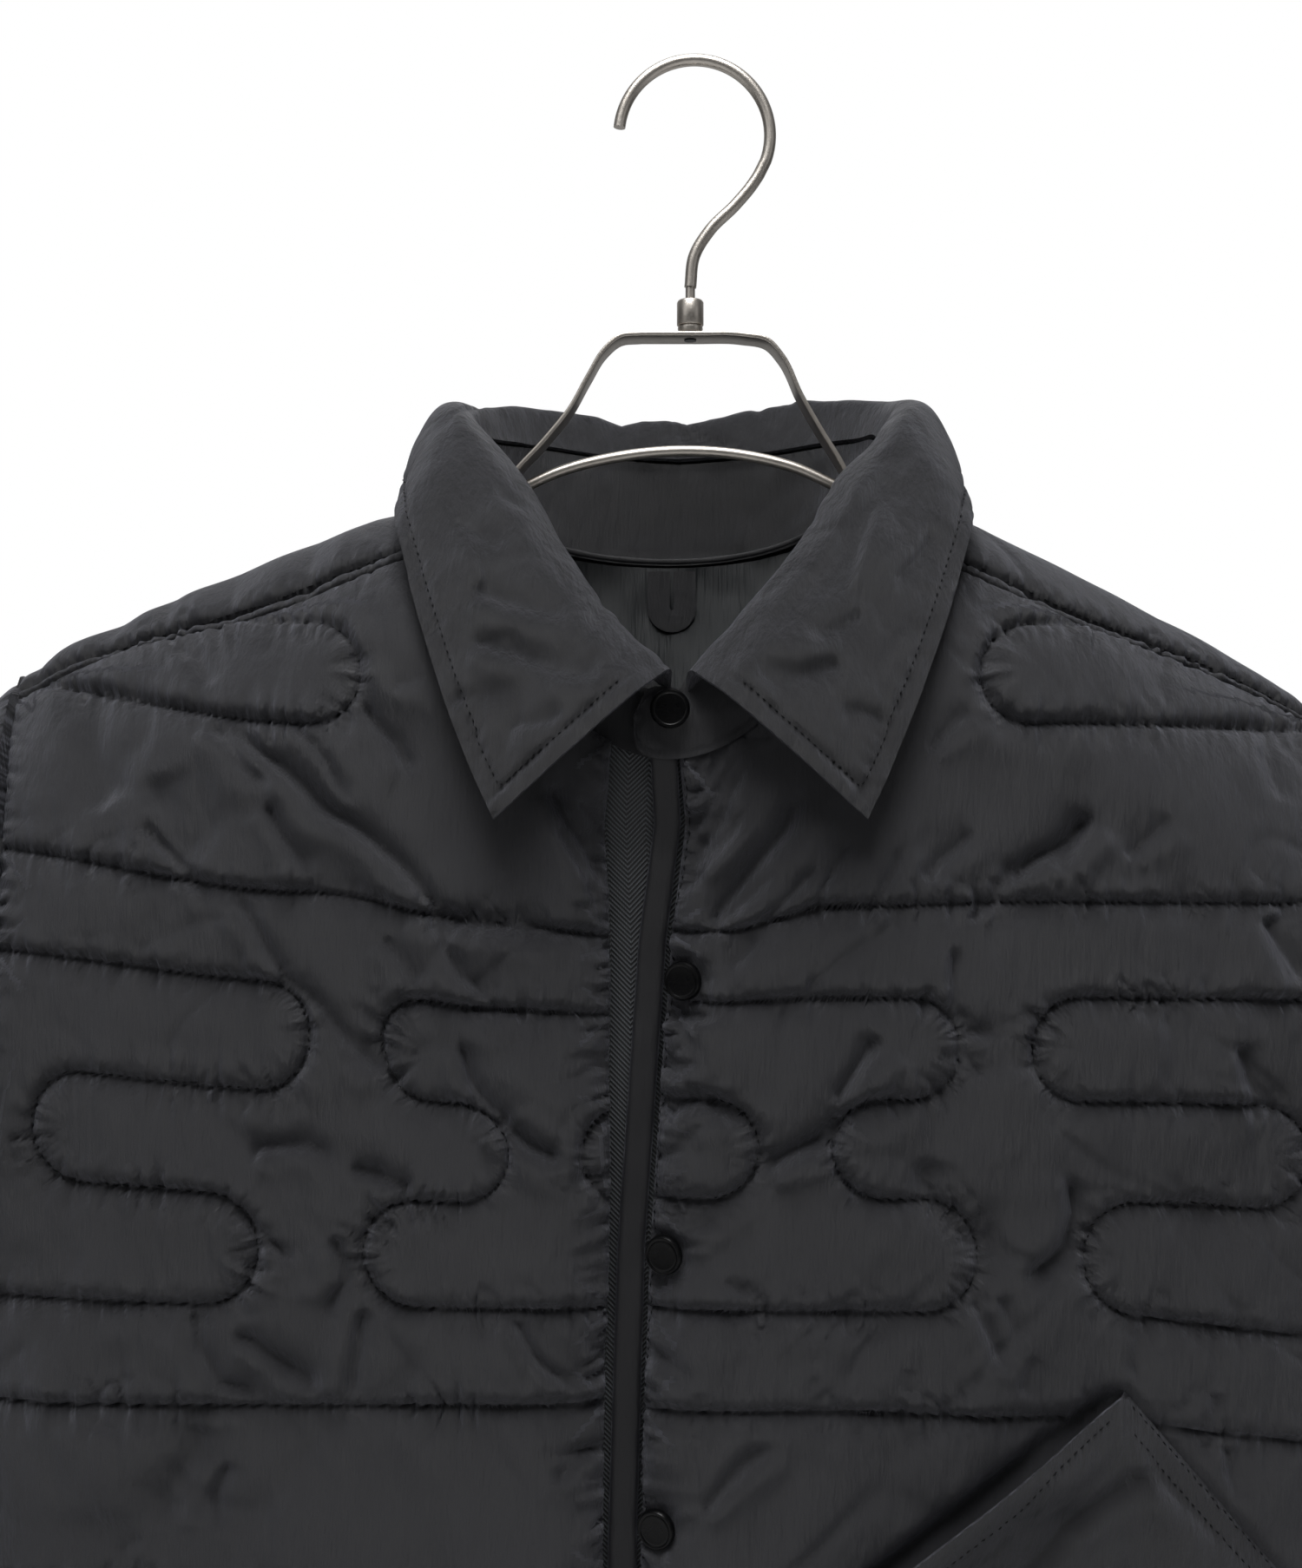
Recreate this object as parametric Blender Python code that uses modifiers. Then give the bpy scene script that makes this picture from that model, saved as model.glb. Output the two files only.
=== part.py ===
"""Quilted shirt jacket on a metal hanger. Metres, +Z up, the front faces -Y.

The origin is the inner top of the hook, where a rail carries it. The wearer's left is at +X.
The body is a flattened hollow shell that hangs from the hanger's two arms: the back wraps over
the shoulders to forward shoulder seams, and the sleeves hang beside the body.
"""

import bmesh
import bpy
import numpy as np
from math import asin, cos, pi, radians, sin

COLLECTION = "quilted_shirt_jacket_on_hanger"
SHARP_ANGLE = radians(50)
RIGHT, LEFT = -1, 1  # the wearer's sides, as the sign of X

# ---- driving sizes of the jacket
CENTRE_X = -0.009  # the jacket hangs a little to one side of the hook
SEAM_GAP = 0.0003
QUILT_WALL = 0.005
EDGE_WALL = 0.003  # the padding is pressed thin at the front edges
PLAIN_WALL = 0.0015
LINING_WALL = 0.001
NECK_HALF = 0.080
NECK_FRONT_Z, NECK_BACK_Z = -0.274, -0.195
NECK_FRONT_ROUNDNESS = 1.4
COLLAR_EDGE_HALF = 0.109
SHOULDER_HALF = 0.2535
RIDGE_Z = -0.181  # the top of the shoulder where the collar's edge crosses it
RIDGE_SLOPE = {RIGHT: 0.40, LEFT: 0.48}
RIDGE_ROUNDING = 0.9
RIDGE_ROUNDING_FROM = 0.16
RIDGE_SLOPE_IN_COLLAR = {RIGHT: 0.35, LEFT: 0.55}
UNDERARM_HALF, UNDERARM_Z = 0.297, -0.515
ARMHOLE_POWER, ARMHOLE_HOLLOW = 3.2, 0.004  # the armhole seam leaves the shoulder nearly upright
HEM_HALF, HEM_Z = 0.290, -0.885
FRONT_DEPTH, BACK_DEPTH = 0.046, 0.040
SIDE_ROUNDING = 0.070
FORWARD_SEAM_DROP = {"neck": 0.0225, "tip": 0.0065, "falls_from": 0.14}
RIDGE_RADIUS = {"neck": 0.055, "tip": 0.130}
SEAM_AT_NECK = radians(110.5)  # where the forward shoulder seam meets the neckline

# ---- how finely the panels are divided
NECK_STEPS, SHOULDER_STEPS = 5, 8
ARMHOLE_STEPS, LOWER_STEPS = 9, 10
BACK_NECK_STEPS = 7
OVER_RIDGE_TURN, OVER_RIDGE_STEPS, BACK_ARM_STEPS = 0.55, 7, 7
BACK_NECK_SHARE = 0.36  # of a back half's even width, at the hem, below the neckline's own columns
BACK_SETTLES_BY = 0.22  # share of the way down by which the back's columns stand evenly

# The front edges, measured from the jacket's centre towards each panel's own side.
FRONT_EDGES = {  # height: edge of the left front's quilting, of its band, of the right front
    "z": (-0.25, -0.30, -0.345, -0.46, -0.57, -0.885),
    "left": (0.0015, 0.0045, -0.0010, -0.0090, -0.0120, -0.0150),
    "band": (-0.0090, -0.0060, -0.0120, -0.0200, -0.0235, -0.0265),
    "right": (0.0205, 0.0235, 0.0215, 0.0225, 0.0250, 0.0270),
}

# Soft folds of the two fronts: ends in X and Z, depth inwards, half-width.
FOLD_FADES = {"start": 0.25, "end": 0.15}  # share of a fold's length over which it fades
FOLDS = (  # x0, z0, x1, z1, depth, half_width
    (-0.180, -0.262, -0.100, -0.345, 0.0035, 0.011),
    (-0.100, -0.345, -0.050, -0.380, 0.0030, 0.010),
    (-0.165, -0.330, -0.105, -0.415, 0.0025, 0.011),
    (0.065, -0.300, 0.005, -0.350, 0.0025, 0.011),
    (0.190, -0.290, 0.120, -0.325, 0.0025, 0.012),
    (0.105, -0.385, 0.030, -0.430, 0.0020, 0.010),
    (0.110, -0.765, 0.125, -0.885, 0.0045, 0.020),
    (-0.110, -0.600, -0.130, -0.885, 0.0045, 0.022),
    (-0.230, -0.560, -0.225, -0.885, 0.0040, 0.020),
)
BACK_FOLDS = (  # x0, z0, x1, z1, depth, half_width
    (-0.150, -0.330, -0.120, -0.885, 0.0045, 0.024),
    (0.140, -0.350, 0.165, -0.885, 0.0045, 0.024),
    (-0.020, -0.520, 0.010, -0.885, 0.0040, 0.026),
)

# The sleeve from armhole to hem, measured from the jacket's centre: its outer and its inner
# edge and half its depth. The armhole itself is the body's own seam line.
SLEEVE = {
    "out_u": (0.2535, 0.284, 0.310, 0.333, 0.352, 0.368, 0.380, 0.387, 0.391, 0.392, 0.391),
    "out_z": (-0.252, -0.274, -0.303, -0.345, -0.400, -0.465, -0.540, -0.615, -0.690, -0.760, -0.820),
    "in_u": (0.297, 0.3015, 0.3025, 0.3030, 0.3035, 0.304, 0.305, 0.307, 0.309, 0.311, 0.312),
    "in_z": (-0.515, -0.530, -0.548, -0.570, -0.597, -0.630, -0.670, -0.712, -0.755, -0.795, -0.832),
    "depth": (0.044, 0.046, 0.047, 0.047, 0.046, 0.045, 0.043, 0.041, 0.039, 0.037, 0.035),
}

# The collar, by the angle round the neck from the middle of the back: its roll line and the
# edge of its leaf, each as distance to the side, depth and height.
COLLAR = {
    "angle": (0, 29, 51, 66, 80, 91, 103, 124, 149, 180),
    "roll_u": (0.0, 0.038, 0.066, 0.082, 0.0865, 0.079, 0.062, 0.043, 0.022, 0.004),
    "roll_y": (0.0450, 0.042, 0.033, 0.018, 0.001, -0.010, -0.021, -0.034, -0.045, -0.050),
    "roll_z": (-0.1300, -0.129, -0.1285, -0.131, -0.1355, -0.147, -0.167, -0.199, -0.225, -0.2435),
    "edge_u": (0.0, 0.050, 0.084, 0.102, 0.1095, 0.1080, 0.101, 0.089, 0.0775, 0.0678),
    "edge_y": (0.0570, 0.054, 0.047, 0.034, -0.001, -0.037, -0.0475, -0.0540, -0.0570, -0.0590),
    "edge_z": (-0.1950, -0.194, -0.190, -0.182, -0.1715, -0.186, -0.212, -0.248, -0.277, -0.298),
}
COLLAR_CENTRE = {"back": -0.003, "front": -0.0055, "moves_from": 60.0, "moves_over": 90.0}
COLLAR_WALL = 0.002
COLLAR_FOLD, COLLAR_BULGE = 0.0058, 0.0075  # the leaf's stand-off by the fold and at its middle
FACING_STEP = 3.0  # degrees to either side over which the roll line's run is taken
FACES_AHEAD = {"from": 70.0, "over": 30.0, "forward": 1.2, "up": 0.6}  # the leaf turns to the front
STAND_WALL = 0.0022
STAND_SHARE = {"back": 0.32, "front": 0.22, "front_from": 150.0}  # its seam, below the roll line
STAND_OVERLAP = 0.0152  # how far each end of the stand passes the centre
STAND_LAP = 0.0016  # each end lies this far in front of or behind the middle
STAND_LAP_FROM, STAND_LAP_OVER = 130.0, 40.0
STAND_INSET = 0.0060  # the stand's top lies this far inside the roll line
STAND_END_SHARE = 0.85  # how much of its height the stand keeps past the centre
STAND_CLEAR = 0.0014  # the stand starts this far above the middle of the body's wall
STAND_BOW = 0.0010
LEAF_CLEAR = 0.0020
LEAF_EASE = 0.020  # height over which the leaf comes to rest on the body
LEAF_LIFT = 0.006  # more room where the shoulder's surface is nearly level
LEAF_TURNED_BY = 0.09  # share of the leaf's fall by which it has turned over its fold
LEAF_OUTSIDE = 3  # from this point of a section on, the leaf lies outside the stand
STAND_INSIDE = {"middle": 0.0025, "side": 0.0052}  # the stand's foot lies inside the neckline

# ---- front edge, snaps, pocket, loop
TAPE_REACH = 0.013  # how far the underlap tape runs past the jacket's centre
TAPE_BEHIND = 0.0045
TAPE_TUCK = 0.0075  # how far the tape runs behind the right front
EDGE_ROLL, EDGE_ROLL_REACH = 0.008, 0.024  # the padded fronts roll back towards their edges
EDGE_ROLL_FROM, EDGE_ROLL_FULL = -0.272, -0.312
BAND_WALL = 0.003
STRIP_ROWS, STRIP_CROWDING = 15, 1.15  # the strips' rows lie closer towards the top
SNAP_CAP = {"diameter": 0.0148, "height": 0.0024, "bevel": 0.0007}
SNAP_TOP_Z, SNAP_PITCH, SNAP_COUNT = -0.2565, 0.1020, 6
SNAP_FROM_EDGE = 0.0068
SNAP_TURN = radians(24)
SNAP_CLEAR = 0.0006
SNAP_AT_COLLAR = (-0.0092, -0.0492, -0.2575)
POCKET_CLEAR = 0.0006
POCKET = {"apex": (0.1589, -0.5098), "mouth_slope": 0.76, "sewn_slope": 1.15,
          "left": 0.035, "right": 0.224, "bottom": -0.745, "gape": 0.007, "gape_reach": 0.05,
          "gape_starts": 0.02}
LOOP = {"x": -0.0076, "half_width": 0.0100, "tape": 0.0055, "y": 0.0282, "top": -0.1985, "drop": 0.0200,
        "wall": 0.0010}
LINING = {"half": 0.235, "inside": 0.0100, "seam": 0.0010, "below_ridge": 0.045, "above_hem": 0.020}

# ---- hanger
ROD_RADIUS = 0.0024
HOOK_CENTRE = (0.0011, -0.0276)
HOOK_RADIUS = 0.0300
HOOK_END_ANGLE = radians(174)
HOOK_LEAVES_ANGLE = radians(-20)
HOOK_TAIL = ((0.0245, -0.0465), (0.0175, -0.0550), (0.0070, -0.0655), (0.0010, -0.0755), (-0.0006, -0.0880))
FERRULE = {"x": -0.0006, "top": -0.0935, "bottom": -0.1060, "radius": 0.0053, "bevel": 0.0006,
           "pin_radius": 0.0018}
BRACKET = {"depth": 0.014, "wall": 0.0017}
BRACKET_LEFT = ((0.0, -0.1080), (0.020, -0.1084), (0.0300, -0.1105), (0.0355, -0.1165), (0.043, -0.1320),
                (0.051, -0.1460), (0.059, -0.1590), (0.0655, -0.1725), (0.078, -0.1860))
BRACKET_RIGHT = ((-0.020, -0.1080), (-0.0285, -0.1090), (-0.0345, -0.1140), (-0.0410, -0.1245),
                 (-0.048, -0.1370), (-0.058, -0.1495), (-0.071, -0.1635), (-0.0820, -0.1785),
                 (-0.097, -0.1915))
ARM_FROM, ARM_HALF = 0.108, 0.205
ARM_BELOW_RIDGE = 0.0100
BAR_RADIUS = 0.0022
BAR = ((-0.0700, -0.1690), (-0.052, -0.1610), (-0.030, -0.1555), (-0.004, -0.1530), (0.022, -0.1550),
       (0.042, -0.1600), (0.0565, -0.1665))

COLOURS = {  # base colour, roughness, metallic
    "shell_nylon": ((0.014, 0.014, 0.017), 0.55, 0.0),
    "twill_tape": ((0.012, 0.012, 0.015), 0.8, 0.0),
    "lining_taffeta": ((0.030, 0.036, 0.040), 0.5, 0.0),
    "snap_black": ((0.010, 0.010, 0.011), 0.4, 0.3),
    "satin_nickel": ((0.55, 0.52, 0.48), 0.3, 1.0),
}


def smooth_step(value):
    """0 to 1 with level ends."""
    value = np.clip(value, 0.0, 1.0)
    return value * value * (3.0 - 2.0 * value)


def table_curve(table, key, at, column="angle"):
    """A smooth curve through one column of a table, by monotone cubic pieces."""
    knots = np.asarray(table[column], float)
    values = np.asarray(table[key], float)
    slopes = np.gradient(values, knots)
    at = np.clip(np.asarray(at, float), knots[0], knots[-1])
    index = np.clip(np.searchsorted(knots, at, side="right") - 1, 0, len(knots) - 2)
    step = knots[index + 1] - knots[index]
    part = (at - knots[index]) / step
    rise = values[index + 1] - values[index]
    start, end = slopes[index] * step, slopes[index + 1] * step
    blend = part * part * (3.0 - 2.0 * part)
    return (values[index] + blend * rise + (part * (1 - part) ** 2) * start
            - (part * part * (1 - part)) * end)


# ---------------------------------------------------------------- the body's form


def ridge_z(side, u):
    """Height of the shoulder's top line at a distance from the jacket's centre."""
    slope = np.where(u < COLLAR_EDGE_HALF, RIDGE_SLOPE_IN_COLLAR[side], RIDGE_SLOPE[side])
    rounding = RIDGE_ROUNDING * np.maximum(0.0, u - RIDGE_ROUNDING_FROM) ** 2
    return RIDGE_Z - slope * (u - COLLAR_EDGE_HALF) - rounding


def tip_z(side):
    """Height of the shoulder's top line where the armhole seam crosses it."""
    return float(ridge_z(side, SHOULDER_HALF))


def side_half(side, z):
    """Half-width of the body: the armhole seam above the underarm, the side seam below it."""
    down = np.clip((tip_z(side) - z) / (tip_z(side) - UNDERARM_Z), 0.0, 1.0)
    armhole = (SHOULDER_HALF + (UNDERARM_HALF - SHOULDER_HALF) * down ** ARMHOLE_POWER
               - ARMHOLE_HOLLOW * np.sin(pi * down))
    low = np.clip((UNDERARM_Z - z) / (UNDERARM_Z - HEM_Z), 0.0, 1.0)
    return armhole + (HEM_HALF - UNDERARM_HALF) * low


def ridge_radius(u):
    """How far below the top line the cloth takes to round over the shoulder."""
    share = np.clip(u / SHOULDER_HALF, 0.0, 1.0) ** 2
    return RIDGE_RADIUS["neck"] + (RIDGE_RADIUS["tip"] - RIDGE_RADIUS["neck"]) * share


def fold_depth(folds, x, z):
    """How far the named folds draw the cloth inwards at a point."""
    total = np.zeros(np.broadcast(x, z).shape)
    for x0, z0, x1, z1, depth, half_width in folds:
        along = np.hypot(x1 - x0, z1 - z0)
        ex, ez = (x1 - x0) / along, (z1 - z0) / along
        run = (x - x0) * ex + (z - z0) * ez
        off = (x - x0) * -ez + (z - z0) * ex
        fade = smooth_step(run / (FOLD_FADES["start"] * along))
        fade = fade * smooth_step((along - run) / (FOLD_FADES["end"] * along))
        total = total + depth * fade * np.exp(-((off / half_width) ** 2))
    return total


def edge_half(side, which, z):
    """Where a front edge runs, from the jacket's centre towards the panel's own side."""
    heights = FRONT_EDGES["z"][::-1]
    values = FRONT_EDGES[which][::-1]
    return np.interp(z, heights, values)


def edge_roll(side, u, z):
    """How far a front falls back as it nears its own edge."""
    edge = edge_half(side, "left" if side == LEFT else "right", z)
    away = np.clip((u - edge) / EDGE_ROLL_REACH, 0.0, 1.0)
    started = smooth_step((EDGE_ROLL_FROM - z) / (EDGE_ROLL_FROM - EDGE_ROLL_FULL))
    return EDGE_ROLL * (1.0 - away) ** 2 * started


def body_depth(side, u, z, front):
    """Depth of the shell's outer surface in front of or behind the middle plane."""
    below = np.maximum(ridge_z(side, u) - z, 0.0)
    radius = ridge_radius(u)
    over = np.sqrt(1.0 - (1.0 - np.minimum(below / radius, 1.0)) ** 2)
    width = side_half(side, z)
    near_side = np.clip((u - (width - SIDE_ROUNDING)) / SIDE_ROUNDING, 0.0, 1.0)
    middle = 0.5 * (tip_z(side) + UNDERARM_Z)
    low = np.clip((middle - z) / (middle - UNDERARM_Z), 0.0, 1.0)
    closing = np.sqrt(np.maximum(1.0 - (near_side * low) ** 2, 0.0))
    full = FRONT_DEPTH - edge_roll(side, u, z) if front else BACK_DEPTH
    x = CENTRE_X + side * u
    folds = fold_depth(FOLDS if front else BACK_FOLDS, x, z)
    return (full - folds) * over * closing


def body_point(side, u, z, front):
    """A point of the shell's outer surface."""
    y = body_depth(side, u, z, front) * (-1.0 if front else 1.0)
    u, z, y = np.broadcast_arrays(u, z, y)
    return np.stack([CENTRE_X + side * u, y, z], axis=-1)


def neckline(side, angle):
    """(u, z) of the neckline at an angle from the middle of the back."""
    u = NECK_HALF * np.sin(angle)
    side_z = ridge_z(side, NECK_HALF)
    past = np.clip(-np.cos(angle), 0.0, 1.0)
    behind = np.clip(np.cos(angle), 0.0, 1.0)
    front = (NECK_FRONT_Z - side_z) * past ** NECK_FRONT_ROUNDNESS
    return u, side_z + front + (NECK_BACK_Z - side_z) * behind


def seam_drop(u):
    """How far the forward shoulder seam lies below the top line, at the front."""
    drop = FORWARD_SEAM_DROP
    part = smooth_step((u - drop["falls_from"]) / (SHOULDER_HALF - drop["falls_from"]))
    return drop["neck"] + (drop["tip"] - drop["neck"]) * part


def armhole_angles(side):
    """Angles round the armhole, from the forward seam down the front to the underarm."""
    half = 0.5 * (tip_z(side) - UNDERARM_Z)
    start = np.arccos(1.0 - FORWARD_SEAM_DROP["tip"] / half)
    return np.linspace(start, pi, ARMHOLE_STEPS + 1)


def back_arm_angles(side):
    """Angles round the armhole on the back: over the top line, then down to the underarm."""
    start = armhole_angles(side)[0]
    over = np.linspace(-start, OVER_RIDGE_TURN, OVER_RIDGE_STEPS + 1)
    return np.concatenate([over, np.linspace(OVER_RIDGE_TURN, pi, BACK_ARM_STEPS + 1)[1:]])


def normals_of(grid):
    """Unit normals of a grid of points, by differences along its rows and columns."""
    down = np.gradient(grid, axis=0)
    across = np.gradient(grid, axis=1)
    normal = np.cross(across, down)
    length = np.linalg.norm(normal, axis=-1, keepdims=True)
    return normal / np.maximum(length, 1e-12)


# ---------------------------------------------------------------- grids of the panels


def front_rows(side):
    """Share of the way from seam to hem of each row, set by the armhole's own points."""
    half = 0.5 * (tip_z(side) - UNDERARM_Z)
    arm = tip_z(side) - half * (1.0 - np.cos(armhole_angles(side)))
    low = np.linspace(UNDERARM_Z, HEM_Z, LOWER_STEPS + 1)[1:]
    z = np.concatenate([arm, low])
    return (z[0] - z) / (z[0] - z[-1])


def front_grid(side):
    """Outer surface of a front: rows from seam to hem, columns from its edge to the side."""
    which = "left" if side == LEFT else "right"
    edge_top = edge_half(side, which, FRONT_EDGES["z"][0])
    at_edge = pi - asin(edge_top / NECK_HALF)
    angles = np.linspace(at_edge, SEAM_AT_NECK, NECK_STEPS + 1)
    neck_u, neck_z = neckline(side, angles)
    seam_u = np.linspace(neck_u[-1], SHOULDER_HALF, SHOULDER_STEPS + 1)[1:]
    seam_z = ridge_z(side, seam_u) - seam_drop(seam_u)
    top_u = np.concatenate([neck_u, seam_u])
    top_z = np.concatenate([neck_z, seam_z])
    share = (top_u - edge_top) / (SHOULDER_HALF - edge_top)
    rows = front_rows(side)[:, None]
    z = top_z[None, :] - rows * (top_z[None, :] - HEM_Z)
    inner = edge_half(side, which, z)
    u = inner + share[None, :] * (side_half(side, z) - inner)
    grid = body_point(side, u, z, True)
    return grid, angles


def over_shoulder(side, u, run):
    """A point of the back at a distance along its section, negative in front of the top line."""
    radius = ridge_radius(u)
    turned = np.clip(run / radius, -pi / 2, pi / 2)
    below = radius * (1.0 - np.cos(turned)) + np.maximum(run - radius * pi / 2, 0.0)
    z = ridge_z(side, u) - below
    y_back = body_depth(side, u, z, False)
    y_front = -body_depth(side, u, z, True)
    y = np.where(run < 0.0, y_front, y_back)
    return np.stack([CENTRE_X + side * u, y, z], axis=-1)


def run_of(side, u, below):
    """Distance along a section that lies this far below the top line, on the back."""
    radius = ridge_radius(u)
    turned = np.arccos(np.clip(1.0 - below / radius, 0.0, 1.0)) * radius
    return np.where(below > radius, radius * pi / 2 + below - radius, turned)


def back_half(side):
    """One half of the back: rows from its top edge to the hem, columns from the middle out."""
    angles = np.linspace(0.0, SEAM_AT_NECK, BACK_NECK_STEPS + 1)
    neck_u, neck_z = neckline(side, angles)
    seam_u = np.linspace(neck_u[-1], SHOULDER_HALF, SHOULDER_STEPS + 1)[1:]
    top_u = np.concatenate([neck_u, seam_u])
    below = ridge_z(side, neck_u) - neck_z
    neck_run = run_of(side, neck_u, below) * np.where(angles > pi / 2, -1.0, 1.0)
    seam_run = -run_of(side, seam_u, seam_drop(seam_u))
    top_run = np.concatenate([neck_run, seam_run])
    half = 0.5 * (tip_z(side) - UNDERARM_Z)
    arm = back_arm_angles(side)
    arm_below = half * (1.0 - np.cos(arm))
    arm_run = np.where(arm < pi / 2, half * arm, half * pi / 2 + arm_below - half)
    end = half * pi / 2 + (tip_z(side) - HEM_Z) - half
    low_run = np.linspace(arm_run[-1], end, LOWER_STEPS + 1)[1:]
    run = np.concatenate([arm_run, low_run])
    share = ((run - run[0]) / (run[-1] - run[0]))[:, None]
    even = np.concatenate([
        np.linspace(0.0, BACK_NECK_SHARE, BACK_NECK_STEPS + 1),
        BACK_NECK_SHARE + (1.0 - BACK_NECK_SHARE) * (seam_u - neck_u[-1]) / (SHOULDER_HALF - neck_u[-1]),
    ])[None, :]
    hem_run = run_of(side, even * HEM_HALF, ridge_z(side, even * HEM_HALF) - HEM_Z)
    grid_run = top_run[None, :] + share * (hem_run - top_run[None, :])
    settle = smooth_step(share / BACK_SETTLES_BY)
    u = top_u[None, :] * np.ones_like(grid_run)
    for _ in range(3):
        point = over_shoulder(side, u, grid_run)
        wide = even * side_half(side, point[..., 2])
        u = top_u[None, :] + settle * (wide - top_u[None, :])
        u[:, -1] = side_half(side, point[:, -1, 2])
    grid = over_shoulder(side, u, grid_run)
    side_z = np.linspace(UNDERARM_Z, HEM_Z, LOWER_STEPS + 1)[1:]
    edge_z = np.concatenate([tip_z(side) - arm_below, side_z])
    edge = [body_point(side, side_half(side, edge_z), edge_z, front) for front in (False, True)]
    ahead = np.arange(len(edge_z)) < np.count_nonzero(arm < 0.0)
    grid[:, -1] = np.where(ahead[:, None], edge[1], edge[0])
    return grid, angles


def pulled_in(grid, edges, gap=SEAM_GAP):
    """The grid with the named outer edges drawn back by half a seam's gap."""
    grid = grid.copy()
    moves = {"top": (0, 1), "bottom": (-1, -2)}
    for name, (edge, inner) in moves.items():
        if name in edges:
            step = grid[inner] - grid[edge]
            grid[edge] += gap * step / np.linalg.norm(step, axis=-1, keepdims=True)
    sides = {"first": (0, 1), "last": (-1, -2)}
    for name, (edge, inner) in sides.items():
        if name in edges:
            step = grid[:, inner] - grid[:, edge]
            grid[:, edge] += gap * step / np.linalg.norm(step, axis=-1, keepdims=True)
    return grid


def seam_normals(side, grid, normal, columns):
    """Shared normals along the forward shoulder seam, from the shoulder's rounded section."""
    normal = normal.copy()
    u = side * (grid[0, columns, 0] - CENTRE_X)
    below = ridge_z(side, u) - grid[0, columns, 2]
    radius = ridge_radius(u)
    turn = np.arccos(np.clip(1.0 - below / radius, -1.0, 1.0))
    lean = RIDGE_SLOPE[side] * side
    flat = FRONT_DEPTH * np.cos(turn)
    shared = np.stack([lean * flat, -radius * np.sin(turn), flat], axis=-1)
    normal[0, columns] = shared / np.linalg.norm(shared, axis=-1, keepdims=True)
    return normal


def rim_normals(side, grid, normal, column):
    """Shared normals along the armhole and the side seam, so that walls end in one plane."""
    below = grid[:, column, 2] < UNDERARM_Z - 2.0 * SEAM_GAP
    middle = 0.5 * (tip_z(side) + UNDERARM_Z)
    half = 0.5 * (tip_z(side) - UNDERARM_Z)
    up = (grid[:, column, 2] - middle) / half ** 2
    depth = np.where(grid[:, column, 1] < 0, FRONT_DEPTH, BACK_DEPTH)
    outwards = RIDGE_SLOPE[RIGHT] * side * np.clip(up, 0.0, 1.0 / half)
    out = np.stack([outwards, grid[:, column, 1] / depth ** 2, up], axis=-1)
    out /= np.linalg.norm(out, axis=-1, keepdims=True)
    flat = np.array([float(side), 0.0, 0.0])
    normal = normal.copy()
    normal[:, column] = np.where(below[:, None], flat, out)
    return normal


# ---------------------------------------------------------------- making meshes


def material_for(name):
    """The named material, made at its first use."""
    material = bpy.data.materials.get(name)
    if material is None:
        colour, roughness, metallic = COLOURS[name]
        material = bpy.data.materials.new(name)
        material.use_nodes = True
        shader = material.node_tree.nodes["Principled BSDF"]
        shader.inputs["Base Color"].default_value = (*colour, 1.0)
        shader.inputs["Roughness"].default_value = roughness
        shader.inputs["Metallic"].default_value = metallic
        material.diffuse_color = (*colour, 1.0)
    return material


def add_object(name, data, material):
    """A new object of the jacket's collection, with its material."""
    obj = bpy.data.objects.new(name, data)
    parts = bpy.data.collections.get(COLLECTION)
    if parts is None:
        parts = bpy.data.collections.new(COLLECTION)
        bpy.context.scene.collection.children.link(parts)
    parts.objects.link(obj)
    data.materials.append(material_for(material))
    return obj


def wall_between(name, outer, inner, material, ring=False):
    """A closed cloth wall between an outer and an inner grid of points, joined round its rims."""
    rows, columns = outer.shape[:2]
    mesh = bmesh.new()
    shells = [[[mesh.verts.new(p) for p in row] for row in grid] for grid in (outer, inner)]
    out, back = shells
    spans = columns if ring else columns - 1
    for r in range(rows - 1):
        for c in range(spans):
            d = (c + 1) % columns
            mesh.faces.new((out[r][c], out[r][d], out[r + 1][d], out[r + 1][c]))
            mesh.faces.new((back[r][c], back[r + 1][c], back[r + 1][d], back[r][d]))
    for r in (0, rows - 1):
        for c in range(spans):
            d = (c + 1) % columns
            mesh.faces.new((out[r][c], back[r][c], back[r][d], out[r][d]))
    if not ring:
        for c in (0, columns - 1):
            for r in range(rows - 1):
                mesh.faces.new((out[r][c], out[r + 1][c], back[r + 1][c], back[r][c]))
    bmesh.ops.recalc_face_normals(mesh, faces=mesh.faces)
    data = bpy.data.meshes.new(name)
    mesh.to_mesh(data)
    mesh.free()
    data.shade_smooth()
    data.set_sharp_from_angle(angle=SHARP_ANGLE)
    return add_object(name, data, material)


def facing(normal, outward):
    """The normals, turned so that most of them point the way that outward says."""
    return normal if (normal * outward).sum() > 0 else -normal


def strip_from(name, path, half_width, wall, material):
    """A flat strip, open surface first, along a path in X and Z, as wide as it is deep in Y."""
    data = bpy.data.meshes.new(name)
    points = []
    faces = []
    for index, (x, z) in enumerate(path):
        points += [(x, -half_width, z), (x, half_width, z)]
        if index:
            first = 2 * index - 2
            faces.append((first, first + 1, first + 3, first + 2))
    data.from_pydata(points, [], faces)
    obj = add_object(name, data, material)
    solid = obj.modifiers.new("thickness", "SOLIDIFY")
    solid.thickness = wall
    solid.offset = 0.0
    solid.use_even_offset = True
    return obj


def rod_along(name, points, radius, material):
    """A round rod along points, as a bevelled poly curve with filled caps."""
    curve = bpy.data.curves.new(name, "CURVE")
    curve.dimensions = "3D"
    curve.bevel_depth = radius
    curve.bevel_resolution = 3
    curve.use_fill_caps = True
    spline = curve.splines.new("POLY")
    spline.points.add(len(points) - 1)
    for slot, point in zip(spline.points, points):
        slot.co = (*point, 1.0)
    return add_object(name, curve, material)


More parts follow.
